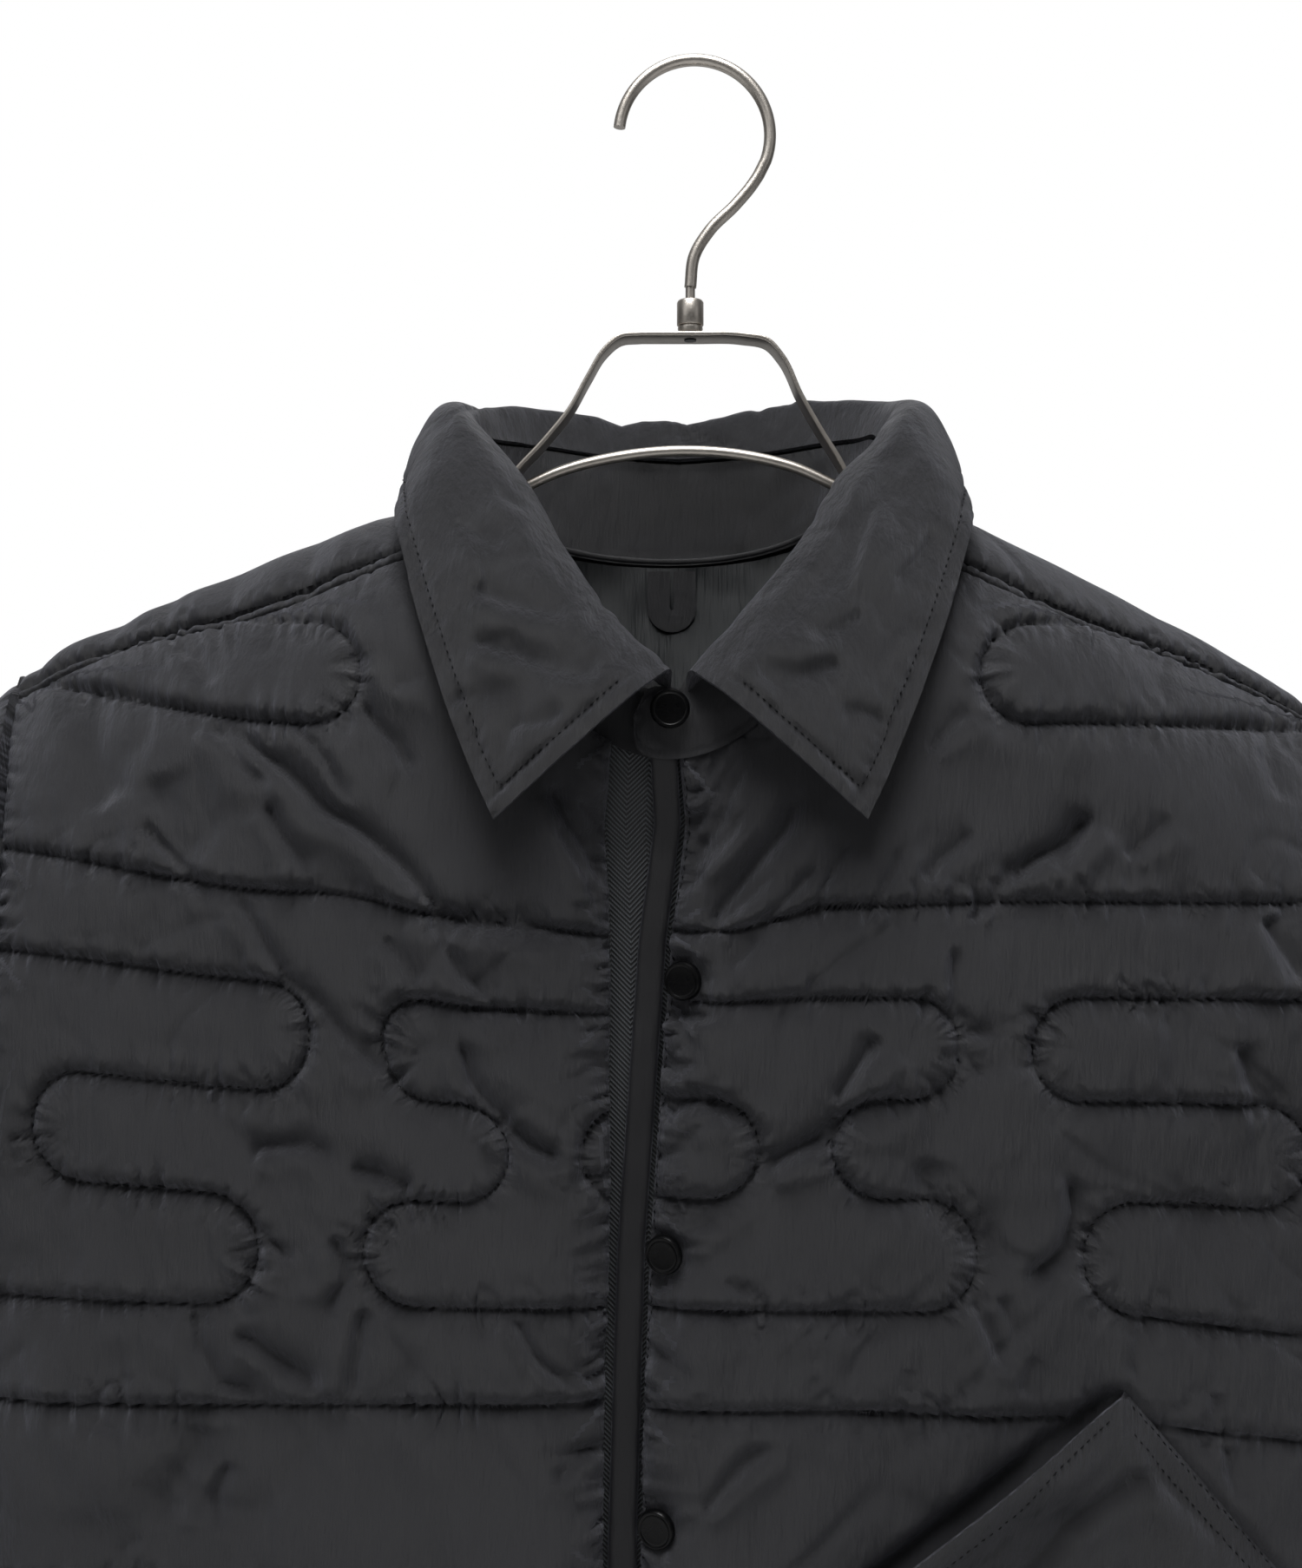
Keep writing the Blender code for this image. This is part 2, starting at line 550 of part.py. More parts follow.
def turned(name, profile, material, steps=32):
    """A turned solid about Z from (radius, height) points, from its top axis down and round."""
    data = bpy.data.meshes.new(name)
    points = [(radius, 0.0, height) for radius, height in profile]
    data.from_pydata(points, [(i, i + 1) for i in range(len(points) - 1)], [])
    obj = add_object(name, data, material)
    screw = obj.modifiers.new("turn", "SCREW")
    screw.axis = "Z"
    screw.steps = steps
    screw.render_steps = steps
    screw.use_merge_vertices = True
    screw.merge_threshold = 1e-5
    return obj


def smooth_path(points, count):
    """Evenly spaced points of a smooth curve through the given ones."""
    points = np.asarray(points, float)
    length = np.concatenate([[0.0], np.cumsum(np.linalg.norm(np.diff(points, axis=0), axis=1))])
    at = np.linspace(0.0, length[-1], count)
    columns = {"at": length}
    columns.update({str(i): points[:, i] for i in range(points.shape[1])})
    return np.stack([table_curve(columns, str(i), at, "at") for i in range(points.shape[1])], axis=-1)


# ---------------------------------------------------------------- body panels


def build_front(side):
    name = "front_left" if side == LEFT else "front_right"
    grid, _ = front_grid(side)
    grid = pulled_in(grid, ("top", "first", "last"))
    normal = facing(normals_of(grid), np.array([0.0, -1.0, 0.0]))
    normal = seam_normals(side, grid, normal, np.arange(NECK_STEPS, grid.shape[1]))
    normal = rim_normals(side, grid, normal, -1)
    wall = np.full(grid.shape[1], QUILT_WALL)
    wall[0] = EDGE_WALL
    wall_between(name, grid, grid - normal * wall[None, :, None], "shell_nylon")
    return grid, normal


def build_back():
    halves = {side: back_half(side)[0] for side in (RIGHT, LEFT)}
    middle = 0.5 * (halves[RIGHT][:, :1] + halves[LEFT][:, :1])
    grid = np.concatenate([halves[RIGHT][:, :0:-1], middle, halves[LEFT][:, 1:]], axis=1)
    grid = pulled_in(grid, ("top", "first", "last"))
    normal = facing(normals_of(grid), np.array([0.0, 1.0, 0.0]))
    count = SHOULDER_STEPS + 1
    normal = seam_normals(RIGHT, grid, normal, np.arange(count))
    normal = seam_normals(LEFT, grid, normal, np.arange(grid.shape[1] - count, grid.shape[1]))
    normal = rim_normals(RIGHT, grid, normal, 0)
    normal = rim_normals(LEFT, grid, normal, -1)
    wall_between("back", grid, grid - normal * QUILT_WALL, "shell_nylon")
    return grid, normal


def build_sleeve(side, front, back):
    """A tube from the armhole's own points down to the open sleeve end."""
    front_points, front_normal = front
    back_points, back_normal = back
    column = -1 if side == LEFT else 0
    last = OVER_RIDGE_STEPS + BACK_ARM_STEPS
    down = front_points[:ARMHOLE_STEPS + 1, -1]
    up = back_points[last - 1:0:-1, column]
    ring = np.concatenate([down, up])
    ring_normal = np.concatenate([front_normal[:ARMHOLE_STEPS + 1, -1],
                                  back_normal[last - 1:0:-1, column]])
    turn = armhole_angles(side)
    back_turn = back_arm_angles(side)
    angle = np.concatenate([turn, 2 * pi - back_turn[last - 1:0:-1]])
    rings = [ring + np.array([side * 4.0 * SEAM_GAP, 0.0, 0.0])]
    for i in range(1, len(SLEEVE["depth"])):
        out = np.array([CENTRE_X + side * SLEEVE["out_u"][i], 0.0, SLEEVE["out_z"][i]])
        inside = np.array([CENTRE_X + side * SLEEVE["in_u"][i], 0.0, SLEEVE["in_z"][i]])
        middle, reach = 0.5 * (out + inside), 0.5 * (out - inside)
        depth = np.array([0.0, -SLEEVE["depth"][i], 0.0])
        rings.append(middle + np.cos(angle)[:, None] * reach + np.sin(angle)[:, None] * depth)
    grid = np.stack(rings)
    wrapped = np.concatenate([grid[:, -1:], grid, grid[:, :1]], axis=1)
    normal = normals_of(wrapped)[:, 1:-1]
    normal = facing(normal, grid - grid.mean(axis=1, keepdims=True))
    normal[0] = ring_normal
    name = "sleeve_left" if side == LEFT else "sleeve_right"
    wall_between(name, grid, grid - normal * QUILT_WALL, "shell_nylon", ring=True)


def build_lining():
    """The lining that shows through the neck, close inside the back."""
    columns = []
    for half in np.linspace(-LINING["half"], LINING["half"], 13):
        side = LEFT if half >= 0 else RIGHT
        u = abs(half)
        if u < NECK_HALF * 0.9:
            top = float(neckline(side, asin(u / NECK_HALF))[1]) - LINING["seam"]
        else:
            top = float(ridge_z(side, u)) - LINING["below_ridge"]
        z = np.linspace(top, HEM_Z + LINING["above_hem"], 9)
        y = body_depth(side, np.full(z.shape, u), z, False) - LINING["inside"]
        columns.append(np.stack([np.full(z.shape, CENTRE_X + half), y, z], axis=-1))
    grid = np.stack(columns, axis=1)
    inner = grid - np.array([0.0, LINING_WALL, 0.0])
    wall_between("back_lining", grid, inner, "lining_taffeta")


# ---------------------------------------------------------------- collar


def collar_point(kind, angle):
    """A point of the roll line or of the leaf's edge, at a signed angle in degrees."""
    side = LEFT if angle >= 0 else RIGHT
    turn = abs(angle)
    share = float(smooth_step((turn - COLLAR_CENTRE["moves_from"]) / COLLAR_CENTRE["moves_over"]))
    middle = COLLAR_CENTRE["back"] + (COLLAR_CENTRE["front"] - COLLAR_CENTRE["back"]) * share
    u, y, z = (float(table_curve(COLLAR, f"{kind}_{axis}", turn)) for axis in "uyz")
    return np.array([middle + side * u, y, z])


def outward_at(angle):
    """Level and away from the neck, at a signed angle in degrees."""
    turn = radians(angle)
    return np.array([sin(turn), cos(turn), 0.0])


def leaf_facing(angle):
    """Which way the leaf faces: square to the roll line and to the leaf's own fall."""
    before, after = max(angle - FACING_STEP, -180.0), min(angle + FACING_STEP, 180.0)
    along = collar_point("roll", after) - collar_point("roll", before)
    fall = collar_point("edge", angle) - collar_point("roll", angle)
    out = np.cross(fall, along)
    out /= np.linalg.norm(out)
    ahead = float(smooth_step((abs(angle) - FACES_AHEAD["from"]) / FACES_AHEAD["over"]))
    seen = outward_at(angle) + np.array([0.0, -FACES_AHEAD["forward"] * ahead, FACES_AHEAD["up"]])
    return out if out @ seen > 0 else -out


def neck_point(angle):
    """The middle of the body's wall at the neckline, at a signed angle in degrees."""
    side = LEFT if angle >= 0 else RIGHT
    turn = radians(abs(angle))
    u, z = neckline(side, turn)
    depth = body_depth(side, u, z, turn > pi / 2)
    y = -depth if turn > pi / 2 else depth
    inside = STAND_INSIDE["middle"] + (STAND_INSIDE["side"] - STAND_INSIDE["middle"]) * sin(turn) ** 2
    return np.array([CENTRE_X + side * u, float(y), float(z)]) - inside * outward_at(angle)


def resting_on_body(points, clear):
    """Points of the leaf, moved out where the body's shell lies under them."""
    points = points.copy()
    for point in points:
        side = LEFT if point[0] >= CENTRE_X else RIGHT
        u = abs(point[0] - CENTRE_X)
        front = point[1] < 0.0
        turn = asin(min(u / NECK_HALF, 1.0))
        at_neck = neckline(side, pi - turn if front else turn)[1]
        limit = float(at_neck if u < NECK_HALF else ridge_z(side, u))
        covered = float(smooth_step((limit + LEAF_EASE - point[2]) / LEAF_EASE))
        steep = 1.0 - np.clip((float(ridge_z(side, u)) - point[2]) / float(ridge_radius(u)), 0.0, 1.0)
        under = float(body_depth(side, np.array(u), np.array(point[2]), front))
        depth = covered * (under + clear + LEAF_LIFT * steep)
        point[1] = min(point[1], -depth) if front else max(point[1], depth)
    return points


def stand_top(angle):
    """The seam between stand and leaf, below the roll line on its inner side."""
    side = 1.0 if angle >= 0 else -1.0
    held = side * min(abs(angle), 180.0)
    ahead = min(abs(held) / STAND_SHARE["front_from"], 1.0)
    share = STAND_SHARE["back"] + (STAND_SHARE["front"] - STAND_SHARE["back"]) * ahead
    roll, base = collar_point("roll", held), neck_point(held)
    top = roll + (base - roll) * share - leaf_facing(held) * STAND_INSET
    if abs(angle) > 180.0:
        top = neck_point(angle) + (top - base) * STAND_END_SHARE
    return top


def collar_stations():
    """Signed angles of the sections: those of the body's own neckline, then on past the centre."""
    back = np.degrees(np.linspace(0.0, SEAM_AT_NECK, BACK_NECK_STEPS + 1))
    past = 180.0 + np.degrees(asin(STAND_OVERLAP / NECK_HALF))
    halves = {}
    for side in (RIGHT, LEFT):
        front = np.degrees(front_grid(side)[1])[-2::-1]
        beyond = np.linspace(front[-1], 180.0, 3)[1:]
        halves[side] = np.concatenate([back, front, beyond, np.linspace(180.0, past, 3)[1:]])
    return np.concatenate([-halves[RIGHT][:0:-1], halves[LEFT]])


def build_collar_leaf():
    """The leaf, from the stand's seam over the roll line to its free edge, all round."""
    stations = collar_stations()
    stations = stations[np.abs(stations) <= 180.0]
    columns = []
    for angle in stations:
        roll, edge = collar_point("roll", angle), collar_point("edge", angle)
        out = leaf_facing(angle)
        seam = stand_top(angle)
        seam = seam + (roll - seam) * LEAF_CLEAR / np.linalg.norm(roll - seam)
        near = roll + (edge - roll) * LEAF_TURNED_BY + out * COLLAR_FOLD
        middle = 0.5 * (roll + edge) + out * COLLAR_BULGE
        column = smooth_path([seam, roll, near, middle, edge], 9)
        column[LEAF_OUTSIDE:] = resting_on_body(column[LEAF_OUTSIDE:], COLLAR_WALL + LEAF_CLEAR)
        columns.append(column)
    grid = np.stack(columns, axis=1)
    normal = normals_of(grid)
    normal = facing(normal, np.stack([outward_at(a) for a in stations])[None, :, :])
    half = 0.5 * COLLAR_WALL
    wall_between("collar_leaf", grid + normal * half, grid - normal * half, "shell_nylon")


def build_collar_stand():
    """The stand, from the neckline up to the leaf's seam, its ends lapping at the front."""
    stations = collar_stations()
    columns = []
    for angle in stations:
        lapped = float(smooth_step((abs(angle) - STAND_LAP_FROM) / STAND_LAP_OVER))
        shift = np.array([0.0, STAND_LAP * lapped * (-1.0 if angle > 0 else 1.0), 0.0])
        base, top = neck_point(angle), stand_top(angle)
        rise = (top - base) / np.linalg.norm(top - base)
        base = base + rise * STAND_CLEAR + shift
        top = top + shift
        middle = 0.5 * (base + top) + outward_at(angle) * STAND_BOW
        columns.append(smooth_path([base, middle, top], 4))
    grid = np.stack(columns, axis=1)
    normal = normals_of(grid)
    normal = facing(normal, np.stack([outward_at(a) for a in stations])[None, :, :])
    half = 0.5 * STAND_WALL
    wall_between("collar_stand", grid + normal * half, grid - normal * half, "shell_nylon")


# ---------------------------------------------------------------- front edge, pocket, loop


def front_strip(name, side, inner_u, outer_u, behind, wall, material, across=3):
    """A strip down a front edge between two distances from the centre, set behind its surface."""
    z = np.linspace(0.0, 1.0, STRIP_ROWS)[:, None] ** STRIP_CROWDING
    share = np.linspace(0.0, 1.0, across)[None, :]
    start = FRONT_EDGES["z"][1]
    top_u = inner_u(start) + share * (outer_u(start) - inner_u(start))
    top = neckline(side, pi - np.arcsin(top_u / NECK_HALF))[1] - SEAM_GAP
    height = top + z * (HEM_Z - top)
    u = inner_u(height) + share * (outer_u(height) - inner_u(height))
    grid = body_point(side, u, height, True)
    at_edge = edge_half(side, "left" if side == LEFT else "right", height)
    grid[..., 1] = behind - body_depth(side, np.minimum(u, at_edge), height, True)
    wall_between(name, grid, grid + np.array([0.0, wall, 0.0]), material)


def build_front_edge():
    """The left front's edge band and, left of it, the tape on the right front's edge."""
    front_strip("front_band", LEFT,
                lambda z: edge_half(LEFT, "band", z),
                lambda z: edge_half(LEFT, "left", z) - 1.5 * SEAM_GAP,
                0.0, BAND_WALL, "shell_nylon")
    front_strip("underlap_tape", RIGHT,
                lambda z: np.full_like(np.asarray(z, float), -TAPE_REACH),
                lambda z: edge_half(RIGHT, "right", z) + TAPE_TUCK,
                TAPE_BEHIND, PLAIN_WALL, "twill_tape", across=5)


def pocket_top(x):
    """Height of the patch's upper outline: its mouth, then the edge sewn down past the apex."""
    apex_x, apex_z = POCKET["apex"]
    slope = np.where(x < apex_x, -POCKET["mouth_slope"], POCKET["sewn_slope"])
    return apex_z - slope * (x - apex_x)


def build_pocket():
    """A plain patch with a slanted open mouth towards the front edge, on the wearer's left."""
    apex_x = POCKET["apex"][0]
    x = np.linspace(POCKET["left"], apex_x, 8)
    x = np.concatenate([x, np.linspace(apex_x, POCKET["right"], 5)[1:]])
    top = pocket_top(x)[None, :]
    z = top + np.linspace(0.0, 1.0, 9)[:, None] ** 1.3 * (POCKET["bottom"] - top)
    x = np.broadcast_to(x, z.shape)
    below = top - z
    open_part = smooth_step((apex_x - x) / POCKET["gape_reach"])
    open_part = open_part * smooth_step((x - POCKET["left"]) / POCKET["gape_starts"])
    lift = POCKET["gape"] * open_part * (1.0 - smooth_step(below / POCKET["gape_reach"]))
    grid = body_point(LEFT, x - CENTRE_X, z, True)
    inner = grid - np.stack([0.0 * lift, lift + POCKET_CLEAR, 0.0 * lift], axis=-1)
    outer = inner - np.array([0.0, PLAIN_WALL, 0.0])
    wall_between("pocket_patch", outer, inner, "shell_nylon")


def build_loop():
    """The narrow hanging loop sewn in at the middle of the back neck."""
    bend = LOOP["half_width"] - 0.5 * LOOP["tape"]
    x, top, low = LOOP["x"], LOOP["top"], LOOP["top"] - LOOP["drop"] + bend
    turn = np.linspace(pi, 2 * pi, 13)
    path = [(x - bend, top), (x - bend, 0.5 * (top + low))]
    path += [(x + bend * cos(a), low + bend * sin(a)) for a in turn]
    path += [(x + bend, 0.5 * (top + low)), (x + bend, top)]
    path = np.array(path)
    along = np.gradient(path, axis=0)
    along /= np.linalg.norm(along, axis=1, keepdims=True)
    across = np.stack([-along[:, 1], along[:, 0]], axis=1) * 0.5 * LOOP["tape"]
    grid = np.stack([
        np.stack([edge[:, 0], np.full(len(path), LOOP["y"]), edge[:, 1]], axis=-1)
        for edge in (path - across, path, path + across)
    ], axis=1)
    wall_between("hanger_loop", grid, grid - np.array([0.0, LOOP["wall"], 0.0]), "shell_nylon")


def build_snaps():
    """Flat turned caps with a bevel: one on the collar stand, the others down the left front."""
    radius, height, bevel = 0.5 * SNAP_CAP["diameter"], SNAP_CAP["height"], SNAP_CAP["bevel"]
    profile = ((0.0, height), (radius - bevel, height), (radius, height - bevel), (radius, 0.0),
               (0.0, 0.0))
    for index in range(SNAP_COUNT + 1):
        cap = turned(f"snap_cap_{index + 1}", profile, "snap_black", 18)
        if index == 0:
            cap.location = SNAP_AT_COLLAR
            turn = 0.0
        else:
            z = SNAP_TOP_Z - index * SNAP_PITCH
            u = float(edge_half(LEFT, "left", z)) + SNAP_FROM_EDGE
            on_cloth = body_point(LEFT, np.array(u), np.array(z), True)
            cap.location = on_cloth - np.array([0.0, SNAP_CLEAR, 0.0])
            turn = SNAP_TURN
        cap.rotation_euler = (pi / 2, 0.0, -turn)


# ---------------------------------------------------------------- hanger


def hook_points():
    """The hook's centre line, from its free end round and down to the ferrule."""
    x, z = HOOK_CENTRE
    angles = np.linspace(HOOK_END_ANGLE, HOOK_LEAVES_ANGLE, 30)
    arc = [(x + HOOK_RADIUS * cos(a), z + HOOK_RADIUS * sin(a)) for a in angles]
    tail = smooth_path([arc[-2], arc[-1], *HOOK_TAIL], 18)[3:]
    return [(px, 0.0, pz) for px, pz in [*arc, *tail]]


def frame_path():
    """The flat strip's line, from the tip of one arm over the bracket to the other's."""
    halves = []
    for side, bracket in ((LEFT, BRACKET_LEFT), (RIGHT, BRACKET_RIGHT)):
        arm_u = np.linspace(ARM_FROM, ARM_HALF, 5)
        arm_z = ridge_z(side, arm_u) - ARM_BELOW_RIDGE
        points = list(bracket) + list(zip(CENTRE_X + side * arm_u, arm_z))
        halves.append(smooth_path(points, 34))
    return np.concatenate([halves[1][::-1], halves[0]])


def build_hanger():
    """Hook, ferrule, the flat strip of bracket and arms, and the round bar between the legs."""
    rod_along("hanger_hook", hook_points(), ROD_RADIUS, "satin_nickel")
    f = FERRULE
    pin_top = HOOK_TAIL[-1][1] - SEAM_GAP
    profile = ((0.0, pin_top), (f["pin_radius"], pin_top), (f["pin_radius"], f["top"]),
               (f["radius"] - f["bevel"], f["top"]), (f["radius"], f["top"] - f["bevel"]),
               (f["radius"], f["bottom"] + f["bevel"]), (f["radius"] - f["bevel"], f["bottom"]),
               (0.0, f["bottom"]))
    ferrule = turned("hanger_ferrule", profile, "satin_nickel")
    ferrule.location = (f["x"], 0.0, 0.0)
    strip_from("hanger_frame", frame_path(), 0.5 * BRACKET["depth"], BRACKET["wall"], "satin_nickel")
    bar = [(x, 0.0, z) for x, z in smooth_path(BAR, 24)]
    rod_along("hanger_bar", bar, BAR_RADIUS, "satin_nickel")


def main():
    for obj in list(bpy.data.objects):
        bpy.data.objects.remove(obj, do_unlink=True)
    fronts = {side: build_front(side) for side in (RIGHT, LEFT)}
    back = build_back()
    for side in (RIGHT, LEFT):
        build_sleeve(side, fronts[side], back)
    build_lining()
    build_collar_leaf()
    build_collar_stand()
    build_front_edge()
    build_pocket()
    build_loop()
    build_snaps()
    build_hanger()


main()
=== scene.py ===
# %% [markdown]
# # A quilted shirt jacket on a metal hanger
# The photograph shows the upper half of a black padded nylon jacket with a pointed shirt
# collar and a snap front. It hangs on a thin nickel-plated hanger, on plain white.
# The solid model is loaded first and stays fixed; every piece made here follows its form.

# %% load the solid model
from math import asin, cos, pi, radians, sin, sqrt

import bmesh
import bpy
import numpy as np
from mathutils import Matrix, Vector, kdtree


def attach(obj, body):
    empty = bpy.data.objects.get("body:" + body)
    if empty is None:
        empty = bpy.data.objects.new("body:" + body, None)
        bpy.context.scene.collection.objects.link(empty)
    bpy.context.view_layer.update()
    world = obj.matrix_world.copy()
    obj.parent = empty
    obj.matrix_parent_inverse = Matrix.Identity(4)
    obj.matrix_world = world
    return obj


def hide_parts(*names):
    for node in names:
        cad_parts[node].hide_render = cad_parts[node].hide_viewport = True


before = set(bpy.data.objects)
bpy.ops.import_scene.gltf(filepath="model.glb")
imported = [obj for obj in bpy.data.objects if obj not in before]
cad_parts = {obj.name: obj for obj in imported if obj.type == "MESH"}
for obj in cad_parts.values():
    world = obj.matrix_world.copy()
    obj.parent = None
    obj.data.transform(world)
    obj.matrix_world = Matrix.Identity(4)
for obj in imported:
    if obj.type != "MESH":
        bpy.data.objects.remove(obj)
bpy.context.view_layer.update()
BODY = "root"
RIGHT, LEFT = -1, 1  # the wearer's sides, as the sign of X
WORD = {RIGHT: "right", LEFT: "left"}
TO_FRONT, TO_BACK = np.array([0.0, -1.0, 0.0]), np.array([0.0, 1.0, 0.0])
print("solid nodes:", len(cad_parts))

# %% [markdown]
# ## Camera
# The photograph was taken square to the front, from about 70 cm, so straight lines stay
# straight and the near collar looks slightly larger than the back. The lens is worked out
# from the focal length in pixels, for an image 1806 pixels high.

# %% camera
FOCAL_PIXELS, IMAGE_HEIGHT, SENSOR = 1971.0, 1806.0, 36.0
camera = bpy.data.objects.new("camera", bpy.data.cameras.new("camera"))
camera.data.sensor_width = SENSOR
camera.data.lens = FOCAL_PIXELS / IMAGE_HEIGHT * SENSOR
camera.data.clip_start = 0.01
camera.location = (-0.0162, -0.68, -0.2853)
camera.rotation_euler = (pi / 2, 0.0, 0.0)
bpy.context.scene.collection.objects.link(camera)
bpy.context.scene.camera = camera
print("lens", round(camera.data.lens, 2), "mm")

# %% [markdown]
# ## Shader maths
# A small class wraps one output socket of a material's node tree, so that a material reads
# like a formula. Numbers go through Math nodes, colours through Mix nodes.

# %% socket class
class Value:
    """One output socket, with arithmetic that adds Math nodes."""

    def __init__(self, tree, socket):
        self.tree, self.socket = tree, socket

    def node(self, kind, settings=None, **inputs):
        """Any node by type, with its settings set first, then its sockets by name."""
        return add_node(self.tree, kind, settings, **inputs)

    def maths(self, operation, *others):
        node = self.tree.nodes.new("ShaderNodeMath")
        node.operation = operation
        for slot, value in zip(node.inputs, (self, *others)):
            plug(self.tree, slot, value)
        return Value(self.tree, node.outputs[0])

    def __add__(self, other):
        return self.maths("ADD", other)

    def __mul__(self, other):
        return self.maths("MULTIPLY", other)

    def __sub__(self, other):
        return self.maths("SUBTRACT", other)

    def __rsub__(self, other):
        return (self * -1.0) + other

    def __truediv__(self, other):
        return self.maths("DIVIDE", other)

    def __pow__(self, other):
        return self.maths("POWER", other)

    __radd__ = __add__
    __rmul__ = __mul__

    def fract(self):
        return self.maths("FRACT")

    def wave(self):
        return self.maths("SINE")

    def clamped(self):
        return self.maths("MAXIMUM", 0.0).maths("MINIMUM", 1.0)

    def between(self, low, high):
        """0 below low, 1 above high, smooth between."""
        node = self.node("ShaderNodeMapRange", {"interpolation_type": "SMOOTHSTEP"},
                         Value=self, From_Min=low, From_Max=high)
        return node["Result"]


def plug(tree, slot, value):
    if isinstance(value, Value):
        tree.links.new(value.socket, slot)
    else:
        slot.default_value = value


def add_node(tree, kind, settings=None, **inputs):
    """Adds a node and returns its outputs by name. From_Min stands for the socket From Min."""
    node = tree.nodes.new(kind)
    for key, value in (settings or {}).items():
        setattr(node, key, value)
    slots = {slot.name: slot for slot in reversed(node.inputs) if slot.enabled}
    for key, value in inputs.items():
        plug(tree, slots[key.replace("_", " ")], value)
    return {slot.name: Value(tree, slot) for slot in reversed(node.outputs) if slot.enabled}


print("socket class ready")

# %% [markdown]
# ## The jacket's hollow form
# Each cloth piece repeats the curves of the solid model, in metres: a flattened shell that
# hangs from two sloping shoulder lines, rounds over them and closes at the side seams. The
# solid model has few, large facets; here the same curves are sampled every 1 to 4 mm, so
# that quilting, puckers and folds can be real geometry.

# %% sizes of the form
CENTRE_X = -0.009
QUILT_WALL, EDGE_WALL = 0.005, 0.003
SEAM_GAP = 0.0003
NECK_HALF, NECK_FRONT_Z, NECK_BACK_Z, NECK_FRONT_ROUNDNESS = 0.080, -0.274, -0.195, 1.4
SEAM_AT_NECK = radians(110.5)
COLLAR_EDGE_HALF, SHOULDER_HALF = 0.109, 0.2535
RIDGE_Z = -0.181
RIDGE_SLOPE = {RIGHT: 0.40, LEFT: 0.48}
RIDGE_SLOPE_IN_COLLAR = {RIGHT: 0.35, LEFT: 0.55}
RIDGE_ROUNDING, RIDGE_ROUNDING_FROM = 0.9, 0.16
RIDGE_RADIUS = {"neck": 0.055, "tip": 0.130}
UNDERARM_HALF, UNDERARM_Z = 0.297, -0.515
ARMHOLE_POWER, ARMHOLE_HOLLOW = 3.2, 0.004
HEM_HALF, HEM_Z = 0.290, -0.885
FRONT_DEPTH, BACK_DEPTH = 0.046, 0.040
SIDE_ROUNDING = 0.070
FORWARD_SEAM_DROP = {"neck": 0.0225, "tip": 0.0065, "falls_from": 0.14}
FRONT_EDGES = {  # height; then the left front's edge, its band's and the right front's
    "z": (-0.25, -0.30, -0.345, -0.46, -0.57, -0.885),
    "left": (0.0015, 0.0045, -0.0010, -0.0090, -0.0120, -0.0150),
    "band": (-0.0090, -0.0060, -0.0120, -0.0200, -0.0235, -0.0265),
    "right": (0.0205, 0.0235, 0.0215, 0.0225, 0.0250, 0.0270),
}
EDGE_ROLL, EDGE_ROLL_REACH, EDGE_ROLL_FROM, EDGE_ROLL_FULL = 0.008, 0.024, -0.272, -0.312
print("chest half-width", UNDERARM_HALF, "m; hem", HEM_Z, "m below the hook")


# %% curves of the form
def smooth_step(value):
    value = np.clip(value, 0.0, 1.0)
    return value * value * (3.0 - 2.0 * value)


def bell(value, width, power=2):
    """1 where the value is 0, falling off over a width: the section of a soft dent or ridge."""
    return np.exp(-((value / width) ** power))


def smooth_through(knots, values, at):
    """A smooth curve through a table's values, by cubic pieces."""
    knots, values = np.asarray(knots, float), np.asarray(values, float)
    slopes = np.gradient(values, knots)
    at = np.clip(np.asarray(at, float), knots[0], knots[-1])
    index = np.clip(np.searchsorted(knots, at, side="right") - 1, 0, len(knots) - 2)
    step = knots[index + 1] - knots[index]
    part = (at - knots[index]) / step
    rise = values[index + 1] - values[index]
    start, end = slopes[index] * step, slopes[index + 1] * step
    return (values[index] + smooth_step(part) * rise + part * (1 - part) ** 2 * start
            - part * part * (1 - part) * end)


def ridge_z(side, u):
    """Height of the shoulder's top line, at a distance from the jacket's centre."""
    slope = np.where(u < COLLAR_EDGE_HALF, RIDGE_SLOPE_IN_COLLAR[side], RIDGE_SLOPE[side])
    rounding = RIDGE_ROUNDING * np.maximum(0.0, u - RIDGE_ROUNDING_FROM) ** 2
    return RIDGE_Z - slope * (u - COLLAR_EDGE_HALF) - rounding


def tip_z(side):
    return float(ridge_z(side, SHOULDER_HALF))


def side_half(side, z):
    """Half-width of the body at a height."""
    down = np.clip((tip_z(side) - z) / (tip_z(side) - UNDERARM_Z), 0.0, 1.0)
    armhole = (SHOULDER_HALF + (UNDERARM_HALF - SHOULDER_HALF) * down ** ARMHOLE_POWER
               - ARMHOLE_HOLLOW * np.sin(pi * down))
    low = np.clip((UNDERARM_Z - z) / (UNDERARM_Z - HEM_Z), 0.0, 1.0)
    return armhole + (HEM_HALF - UNDERARM_HALF) * low


def ridge_radius(u):
    share = np.clip(u / SHOULDER_HALF, 0.0, 1.0) ** 2
    return RIDGE_RADIUS["neck"] + (RIDGE_RADIUS["tip"] - RIDGE_RADIUS["neck"]) * share


def edge_half(which, z):
    return np.interp(z, FRONT_EDGES["z"][::-1], FRONT_EDGES[which][::-1])


